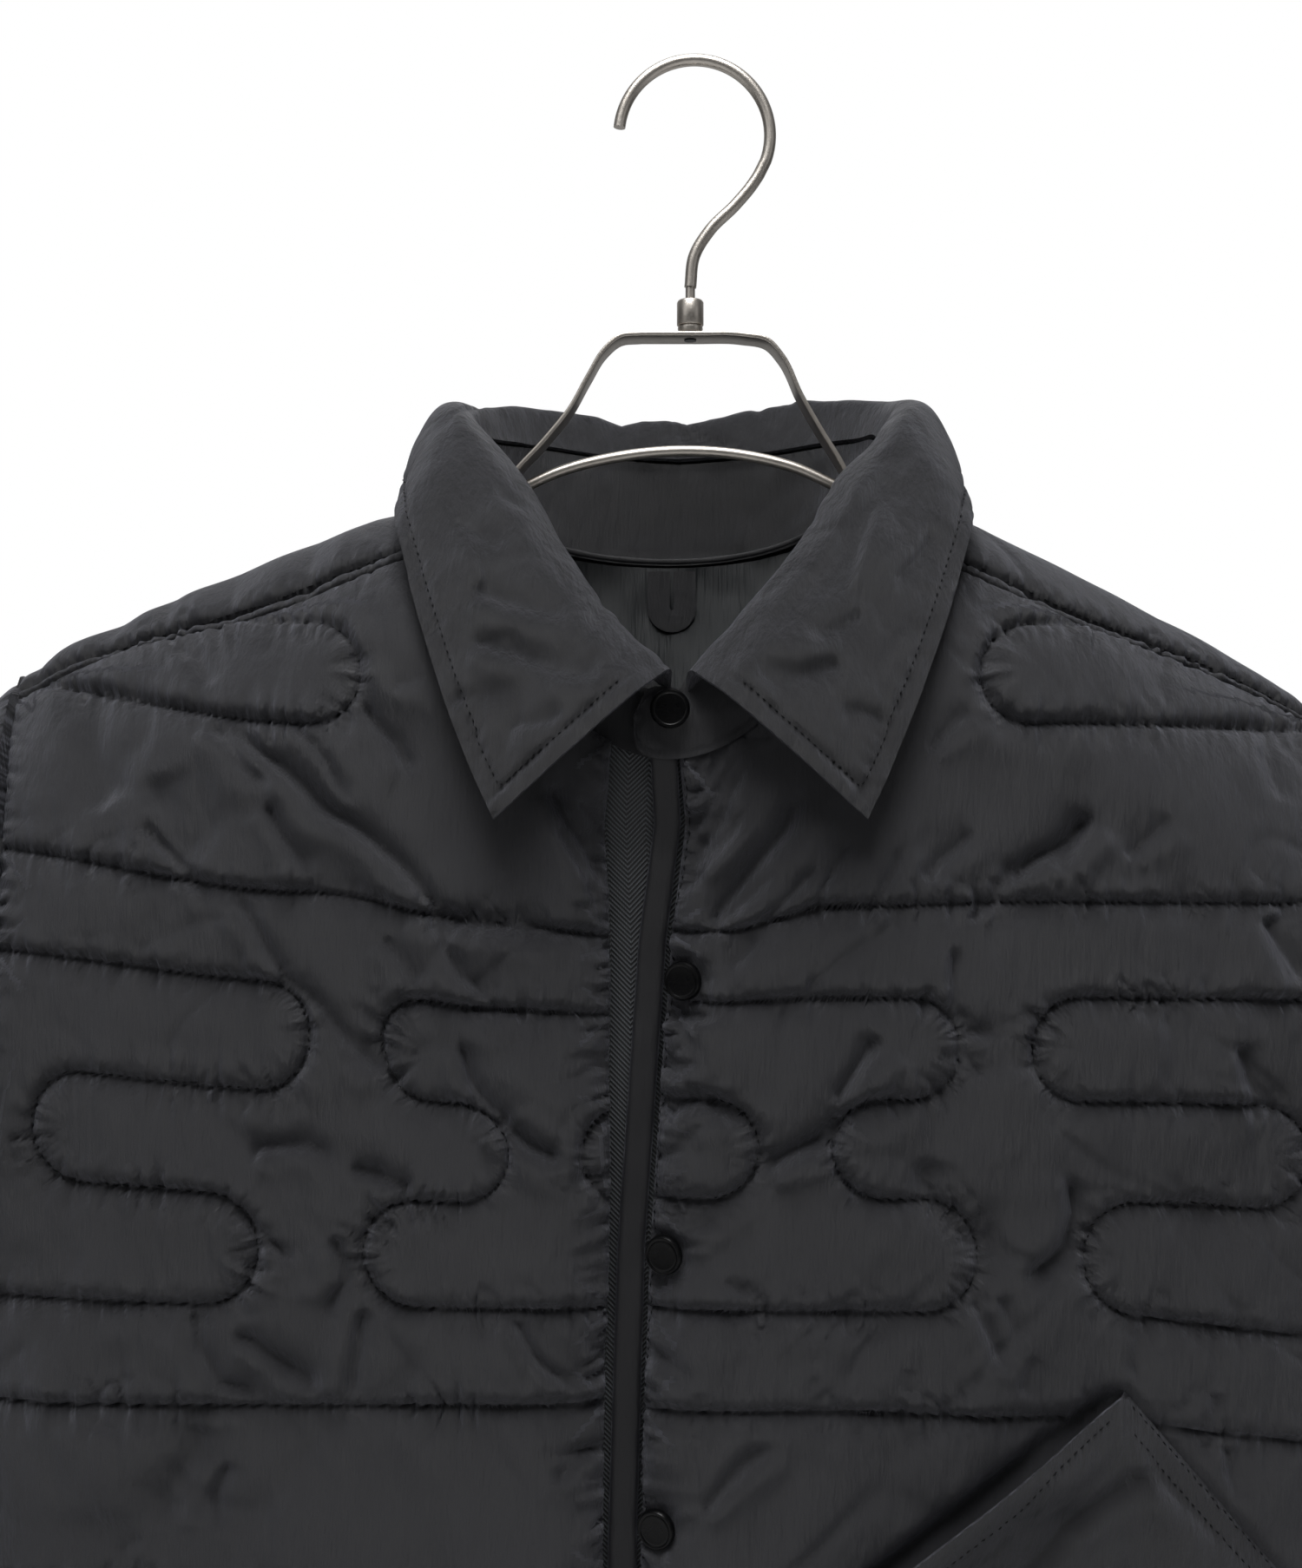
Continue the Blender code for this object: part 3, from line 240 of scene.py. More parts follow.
def body_depth(side, u, z, front):
    """Depth of the shell's outer surface in front of or behind the middle plane."""
    below = np.maximum(ridge_z(side, u) - z, 0.0)
    over = np.sqrt(1.0 - (1.0 - np.minimum(below / ridge_radius(u), 1.0)) ** 2)
    near_side = np.clip((u - (side_half(side, z) - SIDE_ROUNDING)) / SIDE_ROUNDING, 0.0, 1.0)
    middle = 0.5 * (tip_z(side) + UNDERARM_Z)
    low = np.clip((middle - z) / (middle - UNDERARM_Z), 0.0, 1.0)
    closing = np.sqrt(np.maximum(1.0 - (near_side * low) ** 2, 0.0))
    if not front:
        return BACK_DEPTH * over * closing
    edge = edge_half(WORD[side], z)
    away = np.clip((u - edge) / EDGE_ROLL_REACH, 0.0, 1.0)
    started = smooth_step((EDGE_ROLL_FROM - z) / (EDGE_ROLL_FROM - EDGE_ROLL_FULL))
    return (FRONT_DEPTH - EDGE_ROLL * (1.0 - away) ** 2 * started) * over * closing


def body_point(side, u, z, front):
    y = body_depth(side, u, z, front) * (-1.0 if front else 1.0)
    u, z, y = np.broadcast_arrays(u, z, y)
    return np.stack([CENTRE_X + side * u, y, z], axis=-1)


def neckline(side, angle):
    """(u, z) of the neckline at an angle from the middle of the back."""
    side_z = ridge_z(side, NECK_HALF)
    past, behind = np.clip(-np.cos(angle), 0.0, 1.0), np.clip(np.cos(angle), 0.0, 1.0)
    front = (NECK_FRONT_Z - side_z) * past ** NECK_FRONT_ROUNDNESS
    return NECK_HALF * np.sin(angle), side_z + front + (NECK_BACK_Z - side_z) * behind


def seam_drop(u):
    """How far the forward shoulder seam lies below the top line, on the front."""
    drop = FORWARD_SEAM_DROP
    part = smooth_step((u - drop["falls_from"]) / (SHOULDER_HALF - drop["falls_from"]))
    return drop["neck"] + (drop["tip"] - drop["neck"]) * part


def normals_of(grid, outward):
    """Unit normals of a grid of points, turned so that most face the way outward says."""
    normal = np.cross(np.gradient(grid, axis=1), np.gradient(grid, axis=0))
    normal /= np.maximum(np.linalg.norm(normal, axis=-1, keepdims=True), 1e-12)
    return normal if (normal * outward).sum() > 0 else -normal


print("shoulder tips at", round(tip_z(RIGHT), 4), round(tip_z(LEFT), 4))

# %% [markdown]
# ## Noise, folds and thin walls
# Cloth is never quite even. Value noise on a fixed lattice gives the same soft unevenness at
# each run. A fold is a valley along a drawn line with a rounder ridge beside it, which is how
# padded nylon breaks. Every piece becomes a closed wall: a fine outer side, a coarser inner
# side and a rim between them.

# %% noise and folds
def soft_noise(a, b, size, seed, stretch=1.0):
    """Smooth noise from -1 to 1, with lumps about this many metres across."""
    lattice = np.random.default_rng(seed).uniform(-1.0, 1.0, (128, 128))
    a, b = np.asarray(a) / size, np.asarray(b) / (size * stretch)
    i, j = np.floor(a).astype(int), np.floor(b).astype(int)
    s, t = smooth_step(a - i), smooth_step(b - j)
    near = lattice[i % 128, j % 128] * (1 - s) + lattice[(i + 1) % 128, j % 128] * s
    far = lattice[i % 128, (j + 1) % 128] * (1 - s) + lattice[(i + 1) % 128, (j + 1) % 128] * s
    return near * (1 - t) + far * t


FULL_FOLD = 0.034  # a crease shorter than this is shallower too


def fold(a, b, points, depth, width, ridge=0.40):
    """A crease through points: a narrow valley, with a rounder ridge to the right of its run."""
    points = np.asarray(points, float)
    steps = np.linalg.norm(np.diff(points, axis=0), axis=1)
    start = np.concatenate([[0.0], np.cumsum(steps)])
    nearest = np.full(np.shape(a), 1e9)
    offset, along = np.zeros(np.shape(a)), np.zeros(np.shape(a))
    for (x0, y0), (x1, y1), length, begun in zip(points[:-1], points[1:], steps, start):
        ex, ey = (x1 - x0) / length, (y1 - y0) / length
        run = np.clip((a - x0) * ex + (b - y0) * ey, 0.0, length)
        dx, dy = a - x0 - run * ex, b - y0 - run * ey
        gap = np.hypot(dx, dy)
        closer = gap < nearest
        nearest = np.where(closer, gap, nearest)
        offset = np.where(closer, np.sign(ex * dy - ey * dx) * -gap, offset)
        along = np.where(closer, begun + run, along)
    share = along / start[-1]
    fade = smooth_step(share / 0.14) * smooth_step((1.0 - share) / 0.24)
    broad = width * (0.85 + 0.6 * share)
    steep = np.where(offset > 0.0, 0.62, 1.25) * broad
    valley = -bell(np.abs(offset), steep, 1.3)
    crest = ridge * bell(offset - 2.0 * broad, 1.6 * broad)
    return depth * min(1.0, start[-1] / FULL_FOLD) * fade * (valley + crest)


def folds_at(a, b, table):
    """All the folds of a table, each given in millimetres: depth, width, then its points."""
    total = np.zeros(np.shape(a))
    a, b = a + 0.0016 * soft_noise(a, b, 0.016, 2), b + 0.0016 * soft_noise(a, b, 0.016, 3)
    for depth, width, *points in table:
        total = total + fold(a, b, np.array(points) / 1000.0, depth / 1000.0, width / 1000.0)
    return total


print("noise at 0:", round(float(soft_noise(0.0, 0.0, 0.01, 1)), 3))


# %% walls from grids
def strided(count, stride):
    """Every stride-th index, always with the last one."""
    picked = list(range(0, count - 1, stride))
    return picked + [count - 1]


def cloth_wall(name, outer, inner, material, ring=False, stride=(3, 3), marks=None):
    """A closed wall: a fine outer grid, an inner grid thinned by the stride, and its rims."""
    rows, columns = outer.shape[:2]
    pick_r = strided(rows, stride[0])
    pick_c = list(range(0, columns, stride[1])) if ring else strided(columns, stride[1])
    inner = inner[pick_r][:, pick_c]
    points = np.concatenate([outer.reshape(-1, 3), inner.reshape(-1, 3)])
    base = rows * columns
    out = np.arange(base).reshape(rows, columns)
    back = base + np.arange(len(pick_r) * len(pick_c)).reshape(len(pick_r), len(pick_c))
    if ring:
        out = np.concatenate([out, out[:, :1]], axis=1)
        back = np.concatenate([back, back[:, :1]], axis=1)
    stops_c = pick_c + [columns] if ring else pick_c
    quads = np.stack([out[:-1, :-1], out[:-1, 1:], out[1:, 1:], out[1:, :-1]], axis=-1)
    backs = np.stack([back[:-1, :-1], back[1:, :-1], back[1:, 1:], back[:-1, 1:]], axis=-1)
    faces = quads.reshape(-1, 4).tolist() + backs.reshape(-1, 4).tolist()
    for row, other, turn in ((0, 0, 1), (-1, -1, -1)):
        for k in range(len(stops_c) - 1):
            rim = list(out[row, stops_c[k]:stops_c[k + 1] + 1][::turn])
            ends = [back[other, k], back[other, k + 1]][::-turn]
            faces.append([int(i) for i in rim[::-1] + ends[::-1]])
    if not ring:
        for column, other, turn in ((0, 0, -1), (-1, -1, 1)):
            for k in range(len(pick_r) - 1):
                rim = list(out[pick_r[k]:pick_r[k + 1] + 1, column][::turn])
                ends = [back[k, other], back[k + 1, other]][::-turn]
                faces.append([int(i) for i in rim[::-1] + ends[::-1]])
    mesh = bpy.data.meshes.new(name)
    mesh.from_pydata(points.tolist(), [], faces)
    tidy = bmesh.new()
    tidy.from_mesh(mesh)
    bmesh.ops.recalc_face_normals(tidy, faces=tidy.faces)
    tidy.to_mesh(mesh)
    tidy.free()
    mesh.shade_smooth()
    mesh.set_sharp_from_angle(angle=radians(70))
    for mark, values in (marks or {}).items():
        layer = mesh.attributes.new(mark, "FLOAT", "POINT")
        thinned = values[pick_r][:, pick_c]
        layer.data.foreach_set("value", np.concatenate([values.ravel(), thinned.ravel()]))
    return placed(name, mesh, material)


def placed(name, data, material):
    """A new object in the scene, with its material, riding on the body."""
    piece = bpy.data.objects.new(name, data)
    bpy.context.scene.collection.objects.link(piece)
    if material is not None:
        data.materials.append(material)
    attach(piece, BODY)
    return piece


def stands_for(node):
    """Hides the solid node that a piece is shown in place of."""
    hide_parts(node)


print("wall maker ready")

# %% [markdown]
# ## The quilting
# The padding is held by channels of machine stitching. Some rows run right across, others
# turn back in round ends, so that the channels lock into each other. The rows are laid out
# on one half as a short table, in millimetres from the jacket's centre and in height, and
# the other half mirrors it. Down to row F heights and turns were read off the photograph;
# below it the layout is a guess that repeats them. On the hanging jacket the rows sag
# towards the front edge, most of all on the wearer's right; that was read off it too.

# %% rows and round ends
ROWS = {  # heights in millimetres
    "T1": -227.0, "T2": -264.0, "A": -329.0, "B": -366.5, "C": -403.0, "D": -440.0, "E": -480.0,
    "F": -516.0, "V1": -581.0, "V2": -618.0, "G": -683.0, "H": -720.5, "I": -757.0, "J": -794.0,
    "K": -834.0, "L": -868.0,
}
PLACKET, SIDE = -20.0, 330.0
TURNS = (  # a line: from where, then (row, where it turns), and where it ends
    ("T1", SIDE, 115.0, "T2", SIDE),
    ("B", PLACKET, 107.0, "C", 60.0, "D", 114.0, "E", PLACKET),
    ("C", PLACKET, 33.0, "D", PLACKET),
    ("B", SIDE, 134.0, "C", 237.0, "D", 153.0, "E", SIDE),
    ("V1", SIDE, 96.0, "V2", SIDE),
    ("V1", PLACKET, 58.0, "V2", PLACKET),
    ("H", PLACKET, 107.0, "I", 60.0, "J", 114.0, "K", PLACKET),
    ("I", PLACKET, 33.0, "J", PLACKET),
    ("H", SIDE, 134.0, "I", 237.0, "J", 153.0, "K", SIDE),
)
STRAIGHT_ROWS = ("A", "F", "G", "L")
LINE_STEP = 0.8  # millimetres between the points that stand for a stitched line


def stitched_line(turn):
    """Points of one line, in millimetres, with half circles where it turns back."""
    row, at = turn[0], turn[1]
    points = [(at, ROWS[row])]
    for k in range(2, len(turn) - 1, 2):
        stop, next_row = turn[k], turn[k + 1]
        high, low = ROWS[row], ROWS[next_row]
        radius, middle = 0.5 * (high - low), 0.5 * (high + low)
        way = 1.0 if stop > points[-1][0] else -1.0
        for angle in np.linspace(pi / 2, -pi / 2, 40):
            points.append((stop - way * radius + way * radius * cos(angle), middle + radius * sin(angle)))
        row = next_row
    points.append((turn[-1], ROWS[row]))
    return np.array(points)


def evenly(points, step):
    """The same line with a point at every step, and each point's distance along it."""
    points = np.asarray(points, float)
    lengths = np.concatenate([[0.0], np.cumsum(np.linalg.norm(np.diff(points, axis=0), axis=1))])
    at = np.arange(0.0, lengths[-1], step)
    return np.stack([np.interp(at, lengths, points[:, k]) for k in range(points.shape[1])], axis=1), at


def quilt_lines():
    lines = [stitched_line(turn) for turn in TURNS]
    lines += [np.array([(PLACKET, ROWS[row]), (SIDE, ROWS[row])]) for row in STRAIGHT_ROWS]
    return [line / 1000.0 for line in lines]


QUILT = quilt_lines()
print("quilt lines on each half:", len(QUILT))

# %% sag of the rows on the hanging jacket
SAG = {  # at each height: metres by which a row lies higher, at three distances from the centre
    "z": (-0.200, -0.264, -0.329, -0.3665, -0.403, -0.440, -0.480, -0.516, -0.885),
    "at": (0.015, 0.060, 0.135, 0.265),
    RIGHT: ((0.0, 0.0, -0.016, -0.006, -0.003, -0.002, -0.001, 0.0, 0.0),
            (0.0, 0.0, -0.010, -0.003, -0.002, -0.001, 0.0, 0.0, 0.0),
            (0.003, 0.001, 0.004, 0.008, 0.003, 0.002, 0.001, 0.0, 0.0),
            (0.010, 0.019, 0.020, 0.019, 0.011, 0.008, 0.004, 0.002, 0.0)),
    LEFT: ((0.0, 0.0, -0.015, 0.000, 0.000, 0.000, -0.001, -0.002, 0.0),
           (0.0, 0.0, -0.002, 0.002, 0.001, 0.001, -0.001, -0.002, 0.0),
           (0.001, 0.001, 0.000, 0.002, 0.000, 0.000, -0.001, -0.004, 0.0),
           (0.000, -0.001, -0.001, 0.001, -0.002, -0.004, -0.010, -0.013, 0.0)),
}


def sag(side, a, z):
    """How much higher the rows hang than on the flat layout."""
    bands = np.stack([smooth_through(SAG["z"][::-1], band[::-1], z) for band in SAG[side]])
    knots = SAG["at"]
    total = np.zeros(np.shape(a))
    a = np.clip(a, knots[0], knots[-1])
    for k in range(len(knots) - 1):
        part = (a - knots[k]) / (knots[k + 1] - knots[k])
        inside = (part >= 0.0) & ((part < 1.0) | (k == len(knots) - 2))
        share = smooth_step(part)
        total = np.where(inside, bands[k] * (1 - share) + bands[k + 1] * share, total)
    return total


print("row A at the side hangs", float(sag(RIGHT, np.array(0.26), np.array(-0.329))), "m high")

# %% [markdown]
# ## Padding between the stitches
# Each point of a panel looks up the nearest stitched line. Close to the line the padding is
# pressed flat, and a few millimetres away it has swelled to its full loft, along the arc of a
# circle. Puckers run square to the line: short ripples, irregular in spacing, that die out
# within a centimetre. Open edges and seams count as lines too, so the cloth dips towards them.

# %% distance to stitched lines
LOFT, PRESSED, LOFT_REACH, SAGGED = 0.0033, 0.0024, 0.0115, 0.0005


def nearest_tree(points):
    """A tree for looking up the nearest of many points."""
    tree = kdtree.KDTree(len(points))
    for index, point in enumerate(points):
        tree.insert(point, index)
    tree.balance()
    return tree


class Stitched:
    """The stitched lines of a panel, for looking up the nearest one."""

    def __init__(self, lines, step=LINE_STEP / 1000.0):
        runs = [evenly(line, step) for line in lines]
        self.points = np.concatenate([points for points, _ in runs])
        self.along = np.concatenate([at + 7.3 * k for k, (_, at) in enumerate(runs)])
        self.tree = nearest_tree(np.pad(self.points, ((0, 0), (0, 1))))

    def nearest(self, a, b):
        shape = np.shape(a)
        found = [self.tree.find((x, y, 0.0)) for x, y in zip(np.ravel(a), np.ravel(b))]
        index = np.array([f[1] for f in found])
        gap = np.array([f[2] for f in found])
        return gap.reshape(shape), self.along[index].reshape(shape)


def lofted(gap, loft=LOFT, pressed=PRESSED, reach=LOFT_REACH):
    """Height of the padding at a distance from its stitches."""
    near = 1.0 - np.minimum(gap / reach, 1.0)
    return -pressed + (loft + pressed) * (0.62 * np.sqrt(np.maximum(1.0 - near ** 2.4, 0.0))
                                          + 0.38 * np.sqrt(1.0 - np.exp(-gap / 0.0018)))


def overhang(gap, z):
    """Padding that sags onto the line below it and hangs back from the line above it."""
    uphill = np.clip(np.gradient(gap, axis=0) / np.minimum(np.gradient(z, axis=0), -1e-5), -1.0, 1.0)
    return SAGGED * uphill * bell(gap - 0.0050, 0.0042)


def puckers(gap, along, height=0.0009, spacing=0.0058, reach=0.0085, seed=5):
    """Ripples square to a stitched line, irregular in spacing and strength."""
    drift = soft_noise(along, 0 * along, 0.03, seed) * 0.006
    wave = np.sin(2 * pi * (along + drift) / spacing)
    wave = wave + 0.7 * np.sin(2 * pi * (along + 1.7 * drift) / (spacing * 1.63) + 1.3)
    lean = 0.9 * soft_noise(along, 0 * along, 0.045, seed + 2)
    net = np.abs(soft_noise(along + lean * gap, 0.3 * gap, 0.9 * spacing, seed + 3))
    wave = 0.45 * wave + 0.5 - 2.2 * bell(net, 0.16, 1.5)
    strength = 0.25 + 0.75 * np.clip(soft_noise(along, 0 * along, 0.019, seed + 1) + 0.5, 0.0, 1.5)
    away = np.abs(gap)
    return height * wave * strength * bell(away, reach, 1.5) * smooth_step(away / 0.0012 + 0.25)


print("padding swells", round((LOFT + PRESSED) * 1000, 1), "mm over its stitches")

# %% [markdown]
# ## Studio
# The jacket hangs in front of a plain bright backdrop, above a pale floor. Black cloth shows
# its shape only by what it reflects, so the lights matter more than the cloth's colour: a
# wide soft light above and in front makes the tops of the channels shine and leaves their
# undersides dark, as in the photograph. The backdrop is the world itself, and it is white to
# the camera but dimmer as a light, so that it doesn't wash out the cloth from the sides.

# %% floor and world
FLOOR_Z = -0.93
BACKDROP, FILL_LOW, FILL_HIGH, BEHIND = 1.0, 0.02, 0.15, 0.25

bpy.context.scene.view_settings.view_transform = "Standard"
floor_mesh = bpy.data.meshes.new("floor")
floor_mesh.from_pydata([(-4, -3, FLOOR_Z), (4, -3, FLOOR_Z), (4, 3, FLOOR_Z), (-4, 3, FLOOR_Z)],
                       [], [(0, 1, 2, 3)])
floor = bpy.data.objects.new("floor", floor_mesh)
bpy.context.scene.collection.objects.link(floor)
floor_finish = bpy.data.materials.new("floor_pale")
floor_finish.use_nodes = True
floor_tree = floor_finish.node_tree
paper = add_node(floor_tree, "ShaderNodeTexNoise", Scale=6.0, Detail=3.0)["Fac"]
floor_shader = floor_tree.nodes["Principled BSDF"]
plug(floor_tree, floor_shader.inputs["Roughness"], 0.75 + 0.1 * paper)
floor_shader.inputs["Base Color"].default_value = (0.80, 0.80, 0.80, 1.0)
floor_mesh.materials.append(floor_finish)

world = bpy.data.worlds.new("studio")
bpy.context.scene.world = world
world.use_nodes = True
sky = world.node_tree
direction = add_node(sky, "ShaderNodeTexCoord")["Generated"]
way = add_node(sky, "ShaderNodeSeparateXYZ", Vector=direction)
glow = way["Z"].between(-0.5, 1.0) * (FILL_HIGH - FILL_LOW) + FILL_LOW
glow = glow + way["Y"].between(0.25, 0.9) * BEHIND
seen = add_node(sky, "ShaderNodeLightPath")["Is Camera Ray"]
level = glow * (1.0 - seen) + seen * BACKDROP
plug(sky, sky.nodes["Background"].inputs["Strength"], level)
sky.nodes["Background"].inputs["Color"].default_value = (1.0, 1.0, 1.0, 1.0)
print("world from", FILL_LOW, "below to", FILL_HIGH, "above")


# %% soft lights
def soft_light(name, place, aim, size, power):
    """A square area light that faces a point."""
    lamp = bpy.data.objects.new(name, bpy.data.lights.new(name, "AREA"))
    lamp.data.size, lamp.data.energy = size, power
    lamp.location = place
    towards = np.subtract(aim, place)
    lamp.rotation_euler = Vector(towards).to_track_quat("-Z", "Y").to_euler()
    bpy.context.scene.collection.objects.link(lamp)


soft_light("light_above", (-0.10, -0.52, 1.10), (0.0, 0.0, -0.40), 0.9, 36.0)
soft_light("light_left", (-1.5, -1.4, 0.45), (0.0, 0.0, -0.4), 1.2, 3.5)
soft_light("light_right", (1.7, -1.2, 0.30), (0.0, 0.0, -0.4), 1.0, 1.5)
soft_light("light_behind", (0.0, 1.8, 0.9), (0.0, 0.0, -0.3), 1.5, 5.0)

# %% [markdown]
# ## Finishes
# The shell is a thin, tightly woven nylon: nearly black, with a cool soft sheen, fine crinkles
# that run mostly upright, and a weave too fine to see except as a grain in the highlights.
# Each finish is worked out from object coordinates, in metres, so a millimetre in the
# formula is a millimetre on the jacket. Only what varies over the surface goes through
# nodes; an even value is set on the shader itself.

# %% shared parts of finishes
def new_finish(name, **even):
    """A material and its shader, with the values that are even all over the surface."""
    material = bpy.data.materials.new(name)
    material.use_nodes = True
    shader = material.node_tree.nodes["Principled BSDF"]
    for key, value in even.items():
        shader.inputs[key.replace("_", " ")].default_value = value
    return material, material.node_tree, shader


def on_cloth(tree, scale=(1.0, 1.0, 1.0), turn=0.0):
    """Object coordinates, scaled per axis and turned about the depth axis."""
    place = add_node(tree, "ShaderNodeTexCoord")["Object"]
    return add_node(tree, "ShaderNodeMapping", Vector=place, Scale=scale,
                    Rotation=(0.0, turn, 0.0))["Vector"]


def grain(tree, scale, detail=2.0, roughness=0.5, turn=0.0):
    """Noise whose lumps are 1/scale metres in each direction."""
    return add_node(tree, "ShaderNodeTexNoise", Vector=on_cloth(tree, scale, turn), Scale=1.0,
                    Detail=detail, Roughness=roughness)["Fac"]


def tinted(tree, share, low, high):
    """A colour between two, by a share from 0 to 1."""
    return add_node(tree, "ShaderNodeMix", {"data_type": "RGBA"}, Factor=share,
                    A=(*low, 1.0), B=(*high, 1.0))["Result"]


def raised(tree, height, distance):
    """A normal from a height of 0 to 1 that stands this many metres high."""
    return add_node(tree, "ShaderNodeBump", Height=height, Distance=distance)["Normal"]


def part_of(tree, mark):
    """A number that the piece's mesh carries at each point."""
    return add_node(tree, "ShaderNodeAttribute", {"attribute_name": mark})["Fac"]


def finished(tree, shader, colour, roughness, normal):
    for key, value in (("Base Color", colour), ("Roughness", roughness), ("Normal", normal)):
        plug(tree, shader.inputs[key], value)


print("finish helpers ready")

# %% nylon of the shell
WEAVE = 1.0 / 0.00042  # threads per metre


def weave_of(tree, threads=WEAVE):
    """Plain weave: threads over and under each other, as a height from -1 to 1."""
    place = add_node(tree, "ShaderNodeSeparateXYZ", Vector=on_cloth(tree))
    warp = (place["X"] * (2.0 * pi * threads)).wave()
    weft = (place["Z"] * (2.0 * pi * threads)).wave()
    return warp * weft


def crumpled(tree, scale, turn, sharp):
    """A net of sharp creases where a noise passes through its middle, 0 in them and 1 beside."""
    lumps = grain(tree, scale, 1.0, 0.4, turn)
    return (lumps - 0.5).maths("ABSOLUTE").between(0.0, sharp)


def stitch_ticks(tree):
    """Small creases square to the stitches, close beside them."""
    gap, along = part_of(tree, "gap"), part_of(tree, "along")
    ticks = None
    for close, slow, reach, share in ((300.0, 70.0, 0.0075, 1.0), (105.0, 14.0, 0.0140, 2.2)):
        beside = gap * slow
        place = add_node(tree, "ShaderNodeCombineXYZ", X=along * close + beside, Y=beside, Z=0.0)["Vector"]
        ripple = add_node(tree, "ShaderNodeTexNoise", Vector=place, Scale=1.0, Detail=1.0)["Fac"]
        layer = (ripple - 0.5) * (1.0 - gap.between(0.0008, reach)) * share
        ticks = layer if ticks is None else ticks + layer
    return ticks


def nylon(name, dark, light, crinkle=1.0, quilted=False):
    material, tree, shader = new_finish(name, Specular_IOR_Level=0.40, Sheen_Weight=0.22,
                                        Sheen_Roughness=0.38, Sheen_Tint=(0.78, 0.80, 0.92, 1.0))
    upright = grain(tree, (520.0, 520.0, 105.0), 3.0, 0.6)
    leaning = grain(tree, (230.0, 230.0, 90.0), 2.0, 0.5, turn=0.5)
    broad = grain(tree, (26.0, 26.0, 18.0), 2.0)
    weave = weave_of(tree)
    net = crumpled(tree, (44.0, 44.0, 24.0), 0.7, 0.16) + crumpled(tree, (52.0, 52.0, 28.0), -0.6, 0.16)
    height = upright * 0.50 + leaning * 0.40 + weave * 0.05 + net * 0.30
    if quilted:
        height = height + stitch_ticks(tree) * 1.9
    normal = raised(tree, height, 0.0018 * crinkle)
    share = (broad * 0.7 + upright * 0.5 - 0.1 + weave * 0.12).clamped()
    finished(tree, shader, tinted(tree, share, dark, light),
             0.46 + 0.10 * broad + 0.08 * (upright - 0.5), normal)
    return material


SHELL = nylon("nylon_shell", (0.0085, 0.0085, 0.0105), (0.0155, 0.0155, 0.0190), quilted=True)
PLAIN_NYLON = nylon("nylon_collar", (0.0060, 0.0059, 0.0074), (0.0115, 0.0112, 0.0132), 1.5)
BAND_NYLON = nylon("nylon_band", (0.0018, 0.0017, 0.0026), (0.0040, 0.0038, 0.0055), 0.35)
print("nylon finishes:", SHELL.name, PLAIN_NYLON.name, BAND_NYLON.name)

# %% tape, lining and thread
HERRINGBONE, RIB = 0.0150, 0.0019  # width of one chevron, height of one rib


def herringbone():
    """Twill ribs that turn about the tape's middle; its threads are light on near-black."""
    material, tree, shader = new_finish("twill_herringbone", Sheen_Weight=0.15, Sheen_Roughness=0.5)
    across, down = part_of(tree, "across"), part_of(tree, "down")
    folded = (across * (1.0 / HERRINGBONE) + 0.5).fract() - 0.5
    slant = folded.maths("ABSOLUTE") * HERRINGBONE
    rib = ((down - slant) * (2.0 * pi / RIB)).wave() * 0.5 + 0.5
    strand = (across * (2.0 * pi / 0.0007)).wave() * 0.5 + 0.5
    height = rib * 0.8 + strand * rib * 0.3
    fuzz = grain(tree, (900.0, 900.0, 900.0), 2.0)
    share = (rib.between(0.35, 0.95) * (0.55 + 0.45 * strand) * (0.6 + 0.8 * fuzz)).clamped()
    finished(tree, shader, tinted(tree, share, (0.0038, 0.0038, 0.005), (0.072, 0.080, 0.088)),
             0.62 + 0.2 * fuzz, raised(tree, height, 0.0004))
    return material


def taffeta():
    material, tree, shader = new_finish("lining_taffeta", Specular_IOR_Level=0.42,
                                        Sheen_Weight=0.15, Sheen_Roughness=0.3)
    slub = grain(tree, (700.0, 700.0, 45.0), 2.0)
    broad = grain(tree, (30.0, 30.0, 22.0), 2.0)
    weave = weave_of(tree, 1.0 / 0.0005)
    share = (slub * 0.5 + broad * 0.5 + weave * 0.1).clamped()
    net = crumpled(tree, (34.0, 34.0, 20.0), 0.8, 0.2)
    finished(tree, shader, tinted(tree, share, (0.0042, 0.0058, 0.0072), (0.0088, 0.0115, 0.0138)),
             0.38 + 0.12 * broad,
             raised(tree, slub * 0.5 + broad * 2.0 + weave * 0.04 + net * 1.5, 0.0014))
    return material


def sewing_thread(name, dark, light):
    material, tree, shader = new_finish(name, Specular_IOR_Level=0.15)
    twist = grain(tree, (2600.0, 2600.0, 2600.0), 1.0)
    finished(tree, shader, tinted(tree, twist, dark, light), 0.45 + 0.2 * twist,
             raised(tree, twist, 0.0002))
    return material


TAPE_TWILL, LINING_CLOTH = herringbone(), taffeta()
THREAD = sewing_thread("thread_black", (0.0015, 0.0015, 0.002), (0.006, 0.006, 0.007))
print("cloth finishes:", TAPE_TWILL.name, LINING_CLOTH.name, THREAD.name)

# %% metal
def satin_nickel():
    """Plated and brushed lengthwise: warm grey, with fine streaks that soften its highlights."""
    material, tree, shader = new_finish("nickel_satin", Metallic=1.0)
    streak = grain(tree, (1500.0, 220.0, 1500.0), 3.0, 0.6)
    cloud = grain(tree, (60.0, 60.0, 60.0), 2.0)
    finished(tree, shader,
             tinted(tree, (cloud * 0.6 + streak * 0.4).clamped(), (0.42, 0.385, 0.345), (0.60, 0.565, 0.52)),
             0.27 + 0.14 * streak + 0.06 * cloud, raised(tree, streak, 0.00006))
    return material


